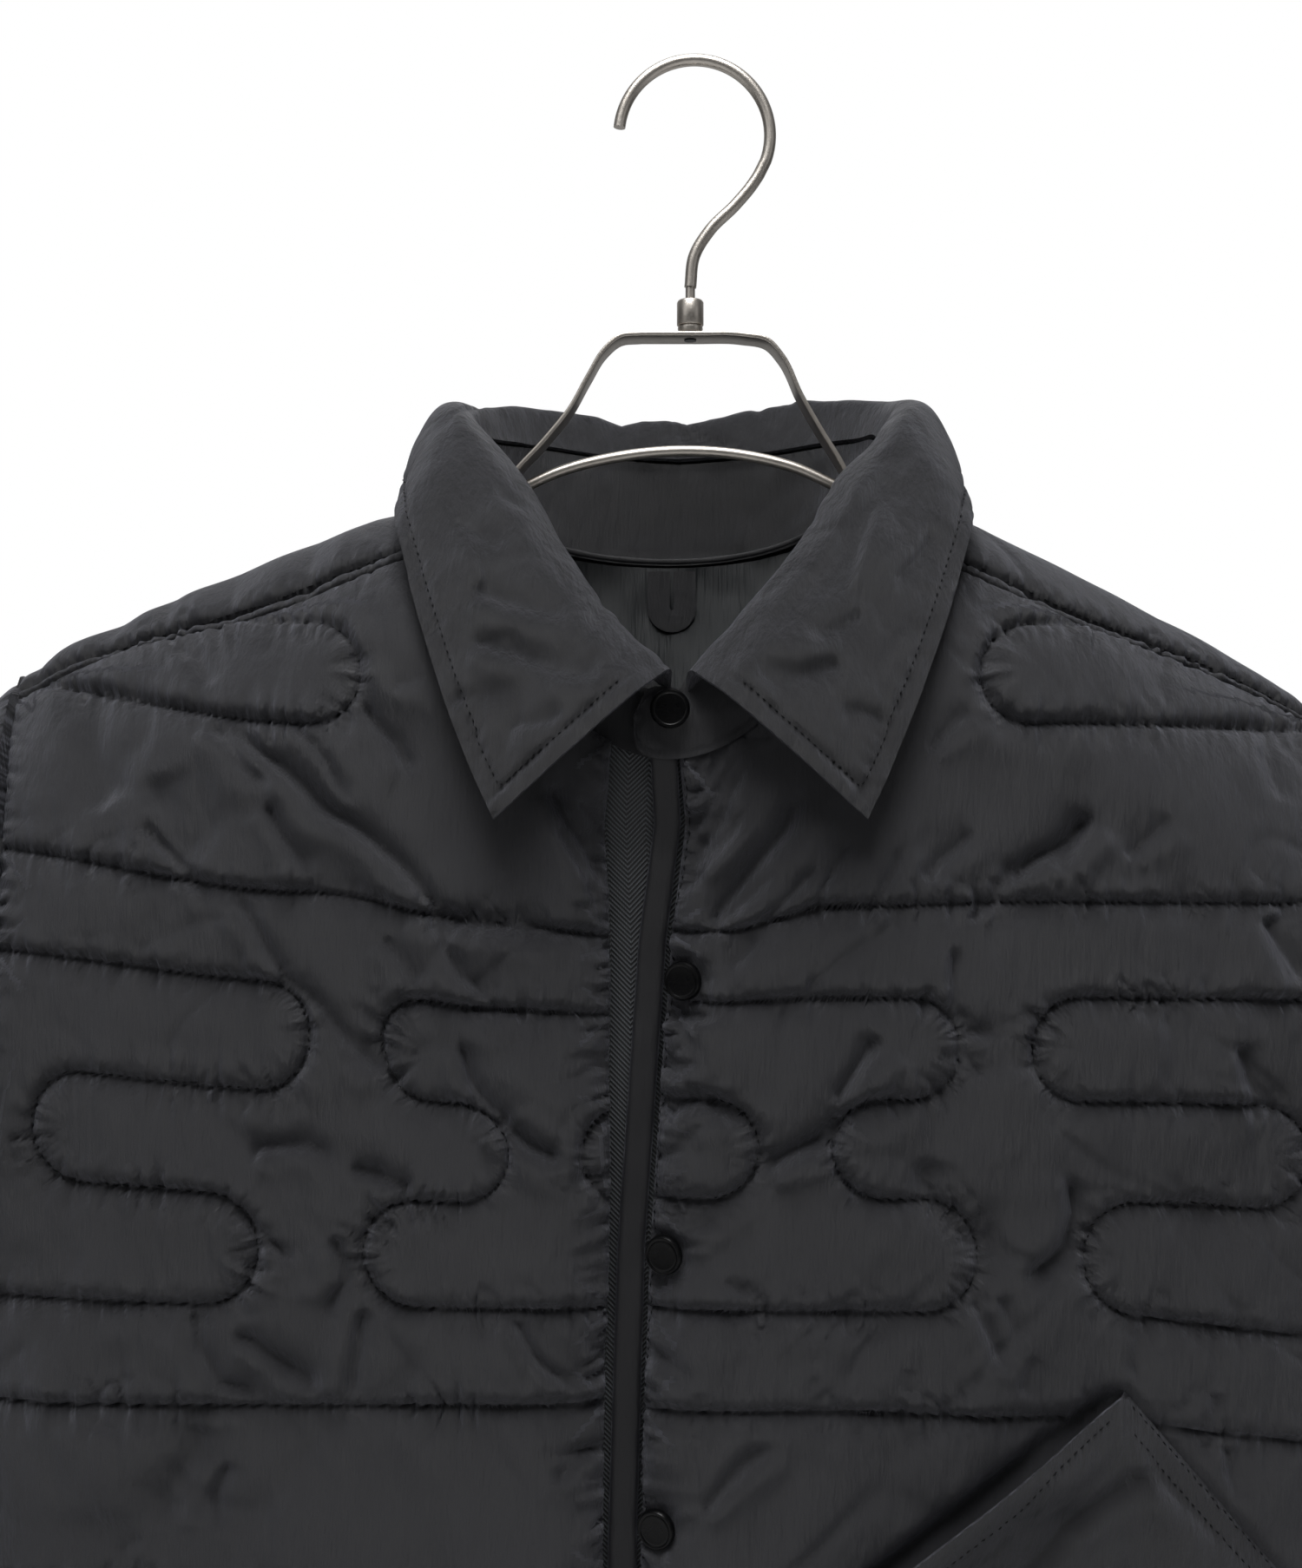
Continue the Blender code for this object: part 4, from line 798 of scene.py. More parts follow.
def black_paint():
    """Matt paint on a snap's cap, with a fine grain and a little wear."""
    material, tree, shader = new_finish("paint_snap_black", Specular_IOR_Level=0.14, Coat_Roughness=0.2)
    shader.inputs["Coat Weight"].default_value = 0.04
    speck = grain(tree, (1800.0, 1800.0, 1800.0), 2.0)
    cloud = grain(tree, (220.0, 220.0, 220.0), 2.0)
    colour = tinted(tree, speck.between(0.45, 0.75), (0.0010, 0.0010, 0.0012), (0.0040, 0.0040, 0.0045))
    finished(tree, shader, colour, 0.22 + 0.14 * cloud, raised(tree, speck, 0.00005))
    return material


NICKEL, SNAP_PAINT = satin_nickel(), black_paint()
print("hard finishes:", NICKEL.name, SNAP_PAINT.name)

# %% [markdown]
# ## The two fronts
# Each front is one panel, from its front edge to the side seam and from the shoulder seam
# to the hem. A fine grid of points follows the solid form, then moves square to it by the
# sum of four things: the padding's loft between stitches, the puckers beside them, the folds
# seen in the photograph, drawn as lines in millimetres, and a net of small creases.

# %% folds drawn after the photograph
DEEP, MID, THIN, SOFT = (4.9, 3.5), (3.2, 2.7), (2.6, 1.8), (3.6, 9.0)  # depth and width in mm
RIGHT_FOLDS = (
    (*DEEP, (-179, -259), (-153, -279), (-140, -292), (-119, -305), (-101, -323), (-94, -333),
     (-70, -336), (-32, -342)),
    (*MID, (-181, -262), (-166, -280), (-156, -289)),
    (*MID, (-160, -293), (-140, -319)),
    (*MID, (-173, -321), (-163, -337), (-152, -357), (-140, -367), (-122, -386), (-101, -402)),
    (*MID, (-116, -342), (-101, -360)),
    (*MID, (-100, -331), (-86, -357), (-70, -370)),
    (*MID, (-88, -380), (-82, -396), (-68, -413)),
    (*SOFT, (-227, -246), (-225, -269), (-220, -298)),
    (*SOFT, (-202, -282), (-192, -305), (-179, -316)),
    (*MID, (-124, -256), (-111, -269), (-103, -284)),
    (*DEEP, (-55, -285), (-44, -303), (-31, -326)),
    (*MID, (-43, -290), (-35, -305), (-29, -315)),
    (*THIN, (-50, -300), (-42, -318), (-34, -334)),
    (*THIN, (-206, -300), (-190, -316), (-178, -330)),
    (*THIN, (-150, -262), (-136, -276), (-124, -294)),
    (*MID, (-112, -248), (-98, -244)),
    (*MID, (-197, -235), (-187, -238), (-179, -251)),
    (*MID, (-166, -426), (-160, -421), (-143, -420), (-132, -425)),
    (*MID, (-130, -426), (-117, -429), (-101, -438)),
    (*THIN, (-171, -441), (-160, -452), (-145, -464)),
    (*MID, (-187, -477), (-184, -495), (-176, -508), (-156, -514)),
    (*MID, (-173, -490), (-163, -492), (-153, -500), (-137, -510)),
    (*MID, (-134, -452), (-130, -470), (-137, -483)),
    (*MID, (-122, -478), (-127, -501), (-129, -516)),
    (*THIN, (-68, -482), (-59, -498), (-45, -511)),
    (*DEEP, (-77, -408), (-62, -420), (-47, -426)),
    (*MID, (-52, -544), (-42, -534), (-34, -529)),
    (*SOFT, (-186, -521), (-186, -534), (-194, -548), (-194, -560)),
    (*MID, (-173, -536), (-178, -550), (-179, -563)),
    (*MID, (-213, -568), (-204, -562)),
    (*SOFT, (-110, -600), (-118, -700), (-130, -880)),
    (*SOFT, (-228, -570), (-228, -700), (-225, -880)),
)
LEFT_FOLDS = (
    (*DEEP, (-3, -321), (10, -297), (21, -274)),
    (*THIN, (-4, -285), (3, -273), (8, -262)),
    (*MID, (-4, -294), (5, -280), (13, -266)),
    (*MID, (-3, -305), (8, -288), (18, -271)),
    (*THIN, (-6, -330), (6, -312), (20, -292)),
    (*MID, (4, -342), (18, -329), (32, -317)),
    (*THIN, (24, -338), (36, -327), (46, -315)),
    (*THIN, (62, -338), (72, -322), (78, -306)),
    (*THIN, (100, -336), (112, -326), (120, -312)),
    (*DEEP, (2, -341), (20, -318), (34, -303), (44, -285)),
    (*MID, (44, -327), (51, -318), (59, -306)),
    (*MID, (85, -323), (91, -313), (104, -301)),
    (*DEEP, (117, -323), (127, -313), (137, -306), (149, -293)),
    (*MID, (134, -318), (140, -306), (147, -295)),
    (*MID, (158, -324), (167, -318)),
    (*MID, (160, -313), (176, -297)),
    (*MID, (85, -274), (98, -261), (106, -256)),
    (*MID, (213, -274), (220, -293)),
    (*DEEP, (209, -334), (217, -349), (225, -363)),
    (*DEEP, (201, -380), (205, -394), (217, -409)),
    (*MID, (95, -344), (95, -367), (101, -376), (117, -378)),
    (*DEEP, (52, -404), (59, -393), (70, -378)),
    (*MID, (13, -360), (20, -367)),
    (*MID, (-13, -372), (8, -372)),
    (*MID, (-13, -411), (2, -401), (13, -408), (20, -413)),
    (*MID, (11, -355), (26, -341)),
    (*DEEP, (25, -429), (36, -421), (49, -415), (59, -402)),
    (*MID, (-5, -452), (10, -446)),
    (*MID, (10, -469), (20, -473), (29, -480)),
    (*SOFT, (85, -421), (85, -434), (91, -443), (104, -454), (122, -459)),
    (*DEEP, (140, -428), (140, -446), (137, -457), (119, -470)),
    (*MID, (101, -472), (108, -488), (116, -504)),
    (*MID, (111, -475), (121, -492)),
    (*MID, (78, -501), (77, -511)),
    (*MID, (46, -504), (41, -514)),
    (*MID, (127, -496), (119, -511)),
    (*THIN, (163, -490), (161, -501), (165, -508)),
    (*MID, (191, -508), (193, -526)),
    (*MID, (196, -530), (201, -550)),
    (*MID, (0, -556), (13, -544), (29, -526)),
    (*MID, (-19, -500), (-10, -501), (-1, -511)),
    (*SOFT, (110, -765), (118, -820), (125, -880)),
    (*SOFT, (50, -620), (45, -700), (52, -790)),
)
FOLDS = {RIGHT: RIGHT_FOLDS, LEFT: LEFT_FOLDS}
print("folds drawn:", len(FOLDS[RIGHT]), "and", len(FOLDS[LEFT]))


# %% small creases, and places where the padding is held down
def fine_creases(a, b, seed, lean, size=0.034, depth=0.0011):
    """A net of thin, broken creases, where a smooth noise passes through zero."""
    along, across = a * cos(lean) + b * sin(lean), b * cos(lean) - a * sin(lean)
    net = np.abs(soft_noise(across, along, size, seed, 2.2))
    here = smooth_step(soft_noise(a, b, 1.6 * size, seed + 1) * 1.4 + 0.35)
    return -depth * here * bell(net, 0.13)


def inside_outline(x, z, corners, ease):
    """1 inside a closed outline in X and Z, 0 outside, eased over a distance at its border."""
    corners = np.asarray(corners, float)
    within = np.zeros(np.shape(x), bool)
    gap = np.full(np.shape(x), 1e9)
    for (x0, z0), (x1, z1) in zip(corners, np.roll(corners, -1, axis=0)):
        crosses = (z0 > z) != (z1 > z)
        slope = (x1 - x0) / (z1 - z0 if z1 != z0 else 1e-9)
        within ^= crosses & (x < x0 + (z - z0) * slope)
        length = (x1 - x0) ** 2 + (z1 - z0) ** 2
        run = np.clip(((x - x0) * (x1 - x0) + (z - z0) * (z1 - z0)) / length, 0.0, 1.0)
        gap = np.minimum(gap, np.hypot(x - x0 - run * (x1 - x0), z - z0 - run * (z1 - z0)))
    return smooth_step(0.5 + 0.5 * np.where(within, gap, -gap) / ease)


LEAF_OUTLINES = {  # what the collar's leaf covers, in metres
    RIGHT: ((-0.120, -0.150), (-0.115, -0.190), (-0.107, -0.214), (-0.0755, -0.302), (-0.0080, -0.241),
            (-0.030, -0.15)),
    LEFT: ((0.112, -0.150), (0.0935, -0.195), (0.088, -0.215), (0.0635, -0.304), (-0.008, -0.246),
           (0.010, -0.15)),
}
POCKET = {"apex": (0.1589, -0.5098), "mouth_slope": 0.76, "mouth_cosine": 0.80, "sewn_slope": 1.15,
          "left": 0.035, "right": 0.224, "bottom": -0.745, "gape": 0.0085, "gape_reach": 0.05,
          "gape_starts": 0.02}
PATCH_OUTLINE = (POCKET["apex"], (POCKET["right"], -0.585), (POCKET["right"], POCKET["bottom"]),
                 (POCKET["left"], POCKET["bottom"]), (POCKET["left"], -0.604))
UNDER_LEAF, UNDER_PATCH = 0.0012, -0.0006
CREASE_LEAN = {RIGHT: -0.75, LEFT: 0.80}
print("a leaf covers", len(LEAF_OUTLINES[RIGHT]), "corners")

# %% panel grid and its stitched lines
NECK_COLUMNS, SEAM_COLUMNS, SIDE_COLUMNS, SIDE_REACH = 52, 96, 50, 0.062
FINE_ROWS, FINE_UNTIL, PLAIN_ROWS = 285, 0.56, 58
HEM_STITCH = 0.020
CLAMP_LEFT = 0.0009  # the least cloth that stays under the deepest crease


def seam_columns(first_u):
    """Distances from the centre along the shoulder seam, closer together towards the side."""
    turn = SHOULDER_HALF - SIDE_REACH
    even = np.linspace(first_u, turn, SEAM_COLUMNS)[1:]
    return np.concatenate([even, turn + SIDE_REACH * np.sin(np.linspace(0, pi / 2, SIDE_COLUMNS)[1:])])


def front_form(side):
    """Distances from the centre and heights of a front's points, from seam to hem."""
    edge_top = edge_half(WORD[side], FRONT_EDGES["z"][0])
    angles = np.linspace(pi - asin(edge_top / NECK_HALF), SEAM_AT_NECK, NECK_COLUMNS)
    neck_u, neck_z = neckline(side, angles)
    seam_u = seam_columns(neck_u[-1])
    top_u = np.concatenate([neck_u, seam_u])
    top_z = np.concatenate([neck_z, ridge_z(side, seam_u) - seam_drop(seam_u)])
    share = (top_u - edge_top) / (SHOULDER_HALF - edge_top)
    rows = np.concatenate([np.linspace(0.0, FINE_UNTIL, FINE_ROWS),
                           np.linspace(FINE_UNTIL, 1.0, PLAIN_ROWS + 1)[1:]])[:, None]
    z = top_z - rows * (top_z - HEM_Z)
    inner = edge_half(WORD[side], z)
    return inner + share * (side_half(side, z) - inner), z


def panel_lines(side, u, z):
    """The quilting of a panel with its own outline and hem stitch, on the flat layout."""
    hem = np.stack([u[-1], z[-1]], axis=1)
    outline = [np.stack([u[0], z[0]], axis=1), np.stack([u[:, 0], z[:, 0]], axis=1),
               np.stack([u[:, -1], z[:, -1]], axis=1), hem, hem + [0.0, HEM_STITCH]]
    return QUILT + [np.stack([line[:, 0], line[:, 1] - sag(side, line[:, 0], line[:, 1])], axis=1)
                    for line in outline]


def drawn_in(grid, gap=SEAM_GAP):
    """The grid with its outer rows and columns drawn back by half a seam's gap."""
    grid = grid.copy()
    for edge, inner in ((0, 1), (-1, -2)):
        for rim, near in ((grid[edge], grid[inner]), (grid[:, edge], grid[:, inner])):
            step = near - rim
            rim += gap * step / np.maximum(np.linalg.norm(step, axis=-1, keepdims=True), 1e-9)
    return grid


def softly_capped(height, cap, share):
    """The height held down to a cap, where the share is 1."""
    return height * (1.0 - share) + np.minimum(height, cap) * share


print("a front has", NECK_COLUMNS + SEAM_COLUMNS + SIDE_COLUMNS - 2, "columns")

# %% relief of a front
SNAP_HOLLOW, MOUTH_DEPTH = 0.0040, 0.0036
SNAP_TOP_Z, SNAP_PITCH, SNAP_COUNT, SNAP_FROM_EDGE = -0.2565, 0.1020, 6, 0.0068
SNAP_HEIGHTS = [SNAP_TOP_Z - k * SNAP_PITCH for k in range(1, SNAP_COUNT + 1)]
SNAPS_AT = [(CENTRE_X + float(edge_half("left", z)) + SNAP_FROM_EDGE, z) for z in SNAP_HEIGHTS]
EDGE_PUCKER = {"height": 0.0010, "spacing": 0.0105, "reach": 0.014}


def snap_hollows(x, z):
    """Cloth drawn in round each snap, with short creases that run out from it."""
    total = np.zeros(np.shape(x))
    for at_x, at_z in SNAPS_AT:
        away, turn = np.hypot(x - at_x, z - at_z), np.arctan2(z - at_z, x - at_x)
        rays = 0.5 + 0.5 * np.sin(7.0 * turn + 3.0 * soft_noise(turn, turn, 0.9, int(-at_z * 1000)))
        total = total - SNAP_HOLLOW * bell(away, 0.0095, 4)
        total = total - 0.0011 * rays * bell(away - 0.012, 0.006)
    return total


def front_relief(side, u, z, lines):
    """How far a front's cloth stands out from the plain form."""
    x = CENTRE_X + side * u
    gap, along = lines.nearest(u, z - sag(side, u, z))
    relief = lofted(gap) + puckers(gap, along, seed=5 if side == LEFT else 9) + overhang(gap, z)
    relief += folds_at(x, z, FOLDS[side]) * np.clip(0.35 + gap / 0.008, 0.0, 1.0)
    relief += fine_creases(x, z, 21 + side, CREASE_LEAN[side]) * smooth_step(gap / 0.006)
    relief += fine_creases(x, z, 31 + side, -CREASE_LEAN[side], 0.022, 0.0007)
    lean = 0.6 * side
    broad, small = soft_noise(x, z, 0.075, 41 + side), soft_noise(x, z, 0.018, 51 + side)
    relief += 0.0020 * broad + 0.0006 * small
    edge_gap = u - edge_half(WORD[side], z)
    drawn = soft_noise(x - lean * z, z + lean * x, 0.020, 45 + side, 3.0)
    relief += 0.0012 * drawn * smooth_step(gap / 0.005)
    relief += puckers(edge_gap, z, seed=61 + side, **EDGE_PUCKER)
    relief = softly_capped(relief, UNDER_LEAF, inside_outline(x, z, LEAF_OUTLINES[side], 0.006))
    if side == LEFT:
        relief = softly_capped(relief, UNDER_PATCH, inside_outline(x, z, PATCH_OUTLINE, 0.005))
        apex_x, apex_z = POCKET["apex"]
        above = (z - apex_z - POCKET["mouth_slope"] * (x - apex_x)) * POCKET["mouth_cosine"]
        mouth = bell(above - 0.0002, 0.0042) * smooth_step((apex_x - x) / 0.012)
        relief = relief * (1.0 - mouth) - MOUTH_DEPTH * mouth
        relief += snap_hollows(x, z)
    wall = EDGE_WALL + (QUILT_WALL - EDGE_WALL) * np.clip(edge_gap / 0.015, 0.0, 1.0)
    return np.maximum(relief, CLAMP_LEFT - wall), wall, gap, along


def make_front(side):
    name = f"front_{WORD[side]}"
    u, z = front_form(side)
    lines = Stitched(panel_lines(side, u, z))
    base = drawn_in(body_point(side, u, z, True))
    normal = normals_of(base, TO_FRONT)
    relief, wall, gap, along = front_relief(side, u, z, lines)
    outer = base + normal * relief[..., None]
    piece = cloth_wall(f"{name}_quilted", outer, base - normal * wall[..., None], SHELL,
                       marks={"gap": gap, "along": along})
    stands_for(name)
    print(name, len(piece.data.polygons), "faces")
    return piece, outer


FRONTS = {side: make_front(side) for side in (RIGHT, LEFT)}

# %% [markdown]
# ## The back
# The back is one panel from side seam to side seam. It wraps over the shoulders and meets the
# fronts at seams that lie forward of the top line, where a row of topstitching follows them
# on the back's own side. On the wearer's right the cloth has slipped along the hanger's arm
# and stands in small scallops. The rest of the back isn't in the photograph and is quilted
# like the fronts, with evenly hanging rows.

# %% back panel grid
BACK_NECK_COLUMNS, BACK_NECK_SHARE, BACK_SETTLES_BY = 30, 0.36, 0.22
BACK_FINE_ROWS, BACK_FINE_RUN, BACK_ROWS = 42, 0.062, 205
FORWARD_STITCH = 0.0065
SCALLOP = {"height": 0.0022, "spacing": 0.0275, "reach": 0.020}


def over_shoulder(side, u, run):
    """A point at a distance along the back's section, negative in front of the top line."""
    radius = ridge_radius(u)
    turned = np.clip(run / radius, -pi / 2, pi / 2)
    below = radius * (1.0 - np.cos(turned)) + np.maximum(run - radius * pi / 2, 0.0)
    z = ridge_z(side, u) - below
    y = np.where(run < 0.0, -body_depth(side, u, z, True), body_depth(side, u, z, False))
    return np.stack([CENTRE_X + side * u, y, z], axis=-1)


def run_of(u, below):
    """Distance along a section that lies this far below the top line."""
    radius = ridge_radius(u)
    turned = np.arccos(np.clip(1.0 - below / radius, 0.0, 1.0)) * radius
    return np.where(below > radius, radius * pi / 2 + below - radius, turned)


def back_half(side):
    """Points, distances from the centre and section runs of one half, from the middle out."""
    angles = np.linspace(0.0, SEAM_AT_NECK, BACK_NECK_COLUMNS)
    neck_u, neck_z = neckline(side, angles)
    seam_u = seam_columns(neck_u[-1])
    top_u = np.concatenate([neck_u, seam_u])
    neck_run = run_of(neck_u, ridge_z(side, neck_u) - neck_z) * np.where(angles > pi / 2, -1.0, 1.0)
    top_run = np.concatenate([neck_run, -run_of(seam_u, seam_drop(seam_u))])
    half = 0.5 * (tip_z(side) - UNDERARM_Z)
    first = -half * np.arccos(1.0 - FORWARD_SEAM_DROP["tip"] / half)
    last = half * pi / 2 + (tip_z(side) - HEM_Z) - half
    run = np.concatenate([np.linspace(first, first + BACK_FINE_RUN, BACK_FINE_ROWS),
                          np.linspace(first + BACK_FINE_RUN, last, BACK_ROWS)[1:]])
    share = ((run - first) / (last - first))[:, None]
    spread = (seam_u - neck_u[-1]) / (SHOULDER_HALF - neck_u[-1])
    even = np.concatenate([np.linspace(0.0, BACK_NECK_SHARE, BACK_NECK_COLUMNS),
                           BACK_NECK_SHARE + (1.0 - BACK_NECK_SHARE) * spread])[None, :]
    hem_run = run_of(even * HEM_HALF, ridge_z(side, even * HEM_HALF) - HEM_Z)
    grid_run = top_run[None, :] + share * (hem_run - top_run[None, :])
    settle = smooth_step(share / BACK_SETTLES_BY)
    u = top_u[None, :] * np.ones_like(grid_run)
    for _ in range(3):
        point = over_shoulder(side, u, grid_run)
        u = top_u[None, :] + settle * (even * side_half(side, point[..., 2]) - top_u[None, :])
        u[:, -1] = side_half(side, point[:, -1, 2])
    grid = over_shoulder(side, u, grid_run)
    fallen = np.where(run < half * pi / 2, half * (1.0 - np.cos(run / half)), run - half * pi / 2 + half)
    edge_z = np.maximum(tip_z(side) - fallen, HEM_Z)
    rim = [body_point(side, side_half(side, edge_z), edge_z, front) for front in (False, True)]
    grid[:, -1] = np.where((run < 0.0)[:, None], rim[1], rim[0])
    return grid, u, grid_run - top_run[None, :]


print("a half of the back has", BACK_NECK_COLUMNS + SEAM_COLUMNS + SIDE_COLUMNS - 2, "columns")

# %% relief of the back
def back_lines(u, z):
    hem = np.stack([u[-1], z[-1]], axis=1)
    return QUILT + [np.stack([u[:, -1], z[:, -1]], axis=1), hem, hem + [0.0, HEM_STITCH]]


def back_relief(side, grid, u, from_seam):
    """How far the back's cloth stands out, and how far each point is from its stitches."""
    z = grid[..., 2]
    x = CENTRE_X + side * u
    gap, along = Stitched(back_lines(u, z)).nearest(u, z)
    near_top = smooth_step(from_seam / 0.05)
    gap = np.where(grid[..., 1] < 0.0, 1.0, gap + 0.03 * (1.0 - near_top))
    rows = np.minimum(np.abs(from_seam), np.abs(from_seam - FORWARD_STITCH))
    seam_nearer = rows < gap
    gap = np.minimum(gap, rows)
    along = np.where(seam_nearer, u, along)
    gap = np.minimum(gap, np.abs(u[..., -1:] - u))
    relief = lofted(gap, loft=np.where(from_seam < FORWARD_STITCH, 0.0012, LOFT))
    relief += puckers(gap, along, seed=71, reach=np.where(seam_nearer, 0.012, 0.006))
    relief += fine_creases(x, z - from_seam, 75 + side, 0.6 * side)
    relief += 0.0022 * soft_noise(x, z - from_seam, 0.085, 77) + 0.0005 * soft_noise(x, z, 0.018, 78)
    if side == RIGHT:
        ridge = bell(from_seam - 0.022, SCALLOP["reach"])
        reach = smooth_step((u - 0.105) / 0.02)
        wave = np.abs(np.sin(pi * (u + 0.006 * soft_noise(u, 0 * u, 0.03, 79)) / SCALLOP["spacing"]))
        relief += SCALLOP["height"] * ridge * reach * (1.4 * wave - 0.6)
    under = smooth_step((COLLAR_EDGE_HALF + 0.006 - u) / 0.010) * smooth_step((z + 0.235) / 0.010)
    relief = softly_capped(relief, UNDER_LEAF, under)
    return np.maximum(relief, CLAMP_LEFT - QUILT_WALL), gap, along


def make_back():
    grids, reliefs, gaps, alongs = [], [], [], []
    for side in (RIGHT, LEFT):
        grid, u, from_seam = back_half(side)
        relief, gap, along = back_relief(side, grid, u, from_seam)
        order = slice(None, 0, -1) if side == RIGHT else slice(None)
        grids.append(grid[:, order])
        reliefs.append(relief[:, order])
        gaps.append(gap[:, order])
        alongs.append(along[:, order])
    grid, relief, gap, along = (np.concatenate(parts, axis=1) for parts in (grids, reliefs, gaps, alongs))
    grid = drawn_in(grid)
    normal = normals_of(grid, TO_BACK)
    outer = grid + normal * relief[..., None]
    piece = cloth_wall("back_quilted", outer, grid - normal * QUILT_WALL, SHELL,
                       marks={"gap": gap, "along": along})
    stands_for("back")
    print("back", len(piece.data.polygons), "faces")
    return piece, outer


BACK = make_back()

# %% [markdown]
# ## The lining behind the neck
# Through the open neck the inside of the back shows: a smooth dark lining that hangs a little
# loose. It is one thin sheet with a few soft upright waves.

# %% lining
LINING = {"half": 0.235, "inside": 0.0100, "seam": 0.0010, "below_ridge": 0.045, "above_hem": 0.020}
LINING_WALL = 0.001


def make_lining():
    half = np.linspace(-LINING["half"], LINING["half"], 150)
    columns = []
    for offset in half:
        side, u = (LEFT if offset >= 0 else RIGHT), abs(offset)
        if u < NECK_HALF * 0.9:
            top = float(neckline(side, asin(u / NECK_HALF))[1]) - LINING["seam"]
        else:
            top = float(ridge_z(side, u)) - LINING["below_ridge"]
        z = top + np.linspace(0.0, 1.0, 150) ** 1.5 * (HEM_Z + LINING["above_hem"] - top)
        x = np.full(z.shape, CENTRE_X + offset)
        y = body_depth(side, np.full(z.shape, u), z, False) - LINING["inside"]
        hang = smooth_step((top - z) / 0.04)
        wave = 0.0016 * soft_noise(x, z, 0.030, 81, 3.0) + 0.0007 * soft_noise(x - 0.5 * z, z, 0.011, 82, 2.5)
        columns.append(np.stack([x, y - hang * (0.0016 + wave), z], axis=-1))
    grid = np.stack(columns, axis=1)
    piece = cloth_wall("lining_back", grid, grid - [0.0, LINING_WALL, 0.0], LINING_CLOTH, stride=(2, 2))
    stands_for("back_lining")
    return piece


LINING_PIECE = make_lining()
print("lining", len(LINING_PIECE.data.polygons), "faces")

# %% [markdown]
# ## The sleeves
# Only the armhole edges are in the photograph. Each sleeve is a tube that leaves the armhole's
# own line, hangs flattened beside the body and ends in an open stitched end, quilted in level
# rings like the body's straight rows.

# %% sleeves
SLEEVE = {  # outer and inner edge from the jacket's centre, height of each, half the depth
    "out_u": (0.2535, 0.284, 0.310, 0.333, 0.352, 0.368, 0.380, 0.387, 0.391, 0.392, 0.391),
    "out_z": (-0.252, -0.274, -0.303, -0.345, -0.400, -0.465, -0.540, -0.615, -0.690, -0.760, -0.820),
    "in_u": (0.297, 0.3015, 0.3025, 0.3030, 0.3035, 0.304, 0.305, 0.307, 0.309, 0.311, 0.312),
    "in_z": (-0.515, -0.530, -0.548, -0.570, -0.597, -0.630, -0.670, -0.712, -0.755, -0.795, -0.832),
    "depth": (0.044, 0.046, 0.047, 0.047, 0.046, 0.045, 0.043, 0.041, 0.039, 0.037, 0.035),
}
SLEEVE_ROUND, SLEEVE_DOWN, SLEEVE_RINGS = 150, 190, 0.0375
SLEEVE_OFF_ARMHOLE = 4.0 * SEAM_GAP


def sleeve_form(side):
    """Rings of points from the armhole down to the sleeve's end, and each ring's angle."""
    angle = np.linspace(0.0, 2.0 * pi, SLEEVE_ROUND, endpoint=False)
    half = 0.5 * (tip_z(side) - UNDERARM_Z)
    z = tip_z(side) - half * (1.0 - np.cos(angle))
    rim = [body_point(side, side_half(side, z), z, front) for front in (True, False)]
    ring = np.where((angle < pi)[:, None], rim[0], rim[1]) + [side * SLEEVE_OFF_ARMHOLE, 0.0, 0.0]
    stations = np.arange(len(SLEEVE["depth"]), dtype=float)
    at = np.linspace(0.0, stations[-1], SLEEVE_DOWN)
    size = {key: smooth_through(stations, values, np.maximum(at, 1.0))[:, None]
            for key, values in SLEEVE.items()}
    out = np.stack([CENTRE_X + side * size["out_u"], 0 * size["out_u"], size["out_z"]], axis=-1)
    inside = np.stack([CENTRE_X + side * size["in_u"], 0 * size["in_u"], size["in_z"]], axis=-1)
    depth = np.stack([0 * size["depth"], -size["depth"], 0 * size["depth"]], axis=-1)
    turn = angle[None, :, None]
    grid = 0.5 * (out + inside) + np.cos(turn) * 0.5 * (out - inside) + np.sin(turn) * depth
    start = np.clip(at, 0.0, 1.0)[:, None, None]
    return ring[None] * (1.0 - start) + grid * start, angle


def make_sleeve(side):
    name = f"sleeve_{WORD[side]}"
    grid, angle = sleeve_form(side)
    wrapped = np.concatenate([grid[:, -1:], grid, grid[:, :1]], axis=1)
    normal = normals_of(wrapped, wrapped - wrapped.mean(axis=1, keepdims=True))[:, 1:-1]
    middle = grid.mean(axis=1)
    down = np.concatenate([[0.0], np.cumsum(np.linalg.norm(np.diff(middle, axis=0), axis=1))])[:, None]
    down = down * np.ones_like(grid[..., 0])
    total = down[-1, 0]
    rings = np.abs((down + 0.5 * SLEEVE_RINGS) % SLEEVE_RINGS - 0.5 * SLEEVE_RINGS)
    gap = np.minimum(np.minimum(rings, down), np.minimum(total - down, np.abs(total - 0.02 - down)))
    round_by = 0.09 * angle[None, :] + 0.3 * np.round(down / SLEEVE_RINGS)
    relief = lofted(gap, loft=0.0024) + puckers(gap, round_by, seed=91 + side, spacing=0.0075)
    a = 0.05 * np.cos(angle)[None, :] + 0 * down
    b = 0.05 * np.sin(angle)[None, :] + 0 * down
    relief += 0.0022 * soft_noise(a + 3 * b, down, 0.05, 93 + side)
    relief += fine_creases(a + 2 * b, down, 95 + side, 0.5) * smooth_step(gap / 0.006)
    relief = np.maximum(relief, CLAMP_LEFT - QUILT_WALL)
    near_body = smooth_step((0.02 - np.abs(side * (grid[..., 0] - CENTRE_X) - UNDERARM_HALF)) / 0.01)
    relief = softly_capped(relief, 0.0004, near_body)
    outer = grid + normal * relief[..., None]
    piece = cloth_wall(f"{name}_quilted", outer, grid - normal * QUILT_WALL, SHELL, ring=True,
                       marks={"gap": gap, "along": round_by})
    stands_for(name)
    print(name, round(float(total), 3), "m long,", len(piece.data.polygons), "faces")
    return piece


SLEEVES = {side: make_sleeve(side) for side in (RIGHT, LEFT)}

